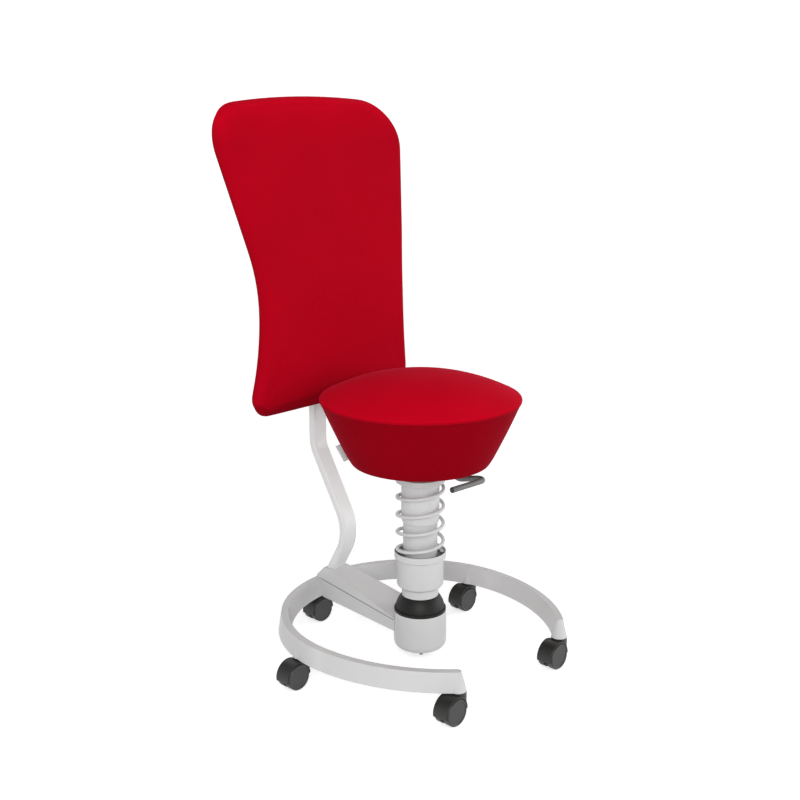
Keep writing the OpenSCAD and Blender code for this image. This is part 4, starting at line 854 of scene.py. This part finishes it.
LEVER_PIN_Y = -34
LEVER_R = 5.5
SOCKET_L = 22                        # the bracket's socket, up to the top of the gas spring
PIN_UP = 5                           # the valve's pin above the gas spring
TONGUE_GAP = 0.3
HALF_TONGUE = 1.5
LEVER_CORNERS = ((0, LEVER_PIN_Y - 4, -2), (22, -75, -52), (68, -117, -52), (-38, -110, -52))
pin_z = node_z("seat_bracket")[0] + SOCKET_L + PIN_UP + TONGUE_GAP + HALF_TONGUE
corners = [Vector(c) for c in LEVER_CORNERS]
route = [corners[0]] + fillet(corners, 1, radius=16) + fillet(corners, 2, radius=10)
route += [route[-1].lerp(corners[3], t) for t in (0.25, 0.5, 0.75)]
route = [at(p.x, p.y, pin_z + p.z) for p in route]
tip = at(corners[3].x, corners[3].y, pin_z + corners[3].z)
heading = (tip - route[-1]).normalized()


full = LEVER_R / 1000
CUT_EDGE = ((0.0011, 0), (0.0006, 0.00015), (0.0002, 0.0005), (0, 0.0010))   # before the tip, and drawn in
CAP_REACH = 0.009                    # the black cap on the cut end
FIRST_NORMAL = Vector((0.4, 0.6, -0.9))
radii = [full] * len(route) + [full - drawn_in for before, drawn_in in CUT_EDGE]
route += [tip - heading * before for before, drawn_in in CUT_EDGE]
lever = closed_skin("lever_rod", swept(route, radii, 28, FIRST_NORMAL), lever_paint)
lever.data.materials.append(black_plastic)
for polygon in lever.data.polygons:
    if (polygon.center - tip).length < CAP_REACH:
        polygon.material_index = 1

# %% [markdown]
# The boss is a short turned sleeve round the cross pin, and the tongue a flat strip that reaches
# back over the valve. Both have small chamfers, which catch the light as real edges do.

# %% Boss and tongue
BOSS_LINE = ((-19.5, 3.2), (-19.5, 5.6), (-19.1, 6), (19.1, 6), (19.5, 5.6), (19.5, 3.2))
BOSS_SIDES = 64
TONGUE_SHAPE = ((-7, -6), (-6.2, -7), (6.2, -7), (7, -6), (7, 37), (6, 38), (-6, 38), (-7, 37))
TONGUE_LAYERS = ((0.93, -1.5), (1, -1.2), (1, 1.2), (0.93, 1.5))   # share of the width, and level

pin = at(0, LEVER_PIN_Y, pin_z)
boss_rings = []
for along, r in BOSS_LINE:
    turns = [2 * math.pi * k / BOSS_SIDES for k in range(BOSS_SIDES)]
    boss_rings.append([pin + Vector((along / 1000, r / 1000 * math.cos(a), r / 1000 * math.sin(a)))
                       for a in turns])
boss = closed_skin("lever_boss", boss_rings, lever_paint)
tongue_rings = [[pin + Vector((x * k / 1000, y / 1000, z / 1000)) for x, y in TONGUE_SHAPE]
                for k, z in TONGUE_LAYERS]
tongue = closed_skin("lever_tongue", tongue_rings, lever_paint, smooth=False)
for piece in (lever, boss, tongue):
    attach(piece, "lever")
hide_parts("height_lever")
print("lever:", len(route), "rings, pin at", [round(c, 4) for c in pin])

# %% [markdown]
# ## Tag
#
# A small folded strip of plain grey cloth is caught in the seat's side seam on the sitter's right.
# It is bare: two layers with a fold at the outer end, slightly curved, as a woven tape hangs.

# %% Tag
TAG_ANGLE = math.radians(137.5)
TAG_LOW = 402
TAG_HIGH = 432
TAG_OUT = 10
TAG_BOW = 1.6
TAG_STEPS = 12
TAG_T = 0.0006                       # the tape's thickness, in metres
radial = Vector((math.cos(TAG_ANGLE), math.sin(TAG_ANGLE), 0))
sideways = Vector((-radial.y, radial.x, 0))
SIDE_TILT = math.atan((SEAT_RIM_R - SEAT_LOW_R) / seat_side_h)
square = radial * math.cos(SIDE_TILT) - Vector((0, 0, math.sin(SIDE_TILT)))   # to the seat's side

# distance out of the seat and half the gap between the layers; the second layer mirrors the first
layer = [(-3, 0.8), (1, 0.9), (4, 1.0), (7, 1.2), (9.5, 1.1), (TAG_OUT, 0.5)]
loop = layer + [(TAG_OUT + 0.3, 0)] + [(out, -off) for out, off in reversed(layer)]
columns = []
for i in range(TAG_STEPS + 1):
    z = TAG_LOW + (TAG_HIGH - TAG_LOW) * i / TAG_STEPS
    bow = TAG_BOW * math.sin(math.pi * i / TAG_STEPS)
    foot = radial * side_r((z - seat_z0) / seat_side_h) + Vector((0, 0, z))
    columns.append([at(*(foot + square * out * (1 - 0.04 * bow) + sideways * (off + 0.09 * out * bow)))
                    for out, off in loop])
points = [p for column in columns for p in column]
n = len(loop)
faces = [(i * n + j, i * n + j + 1, (i + 1) * n + j + 1, (i + 1) * n + j)
         for i in range(TAG_STEPS) for j in range(n - 1)]
tag = mesh_object("seat_tag", points, faces, tag_cloth)
thick = tag.modifiers.new("thickness", "SOLIDIFY")
thick.thickness = TAG_T
thick.offset = 0
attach(tag, "seat")
print("tag:", len(points), "points")
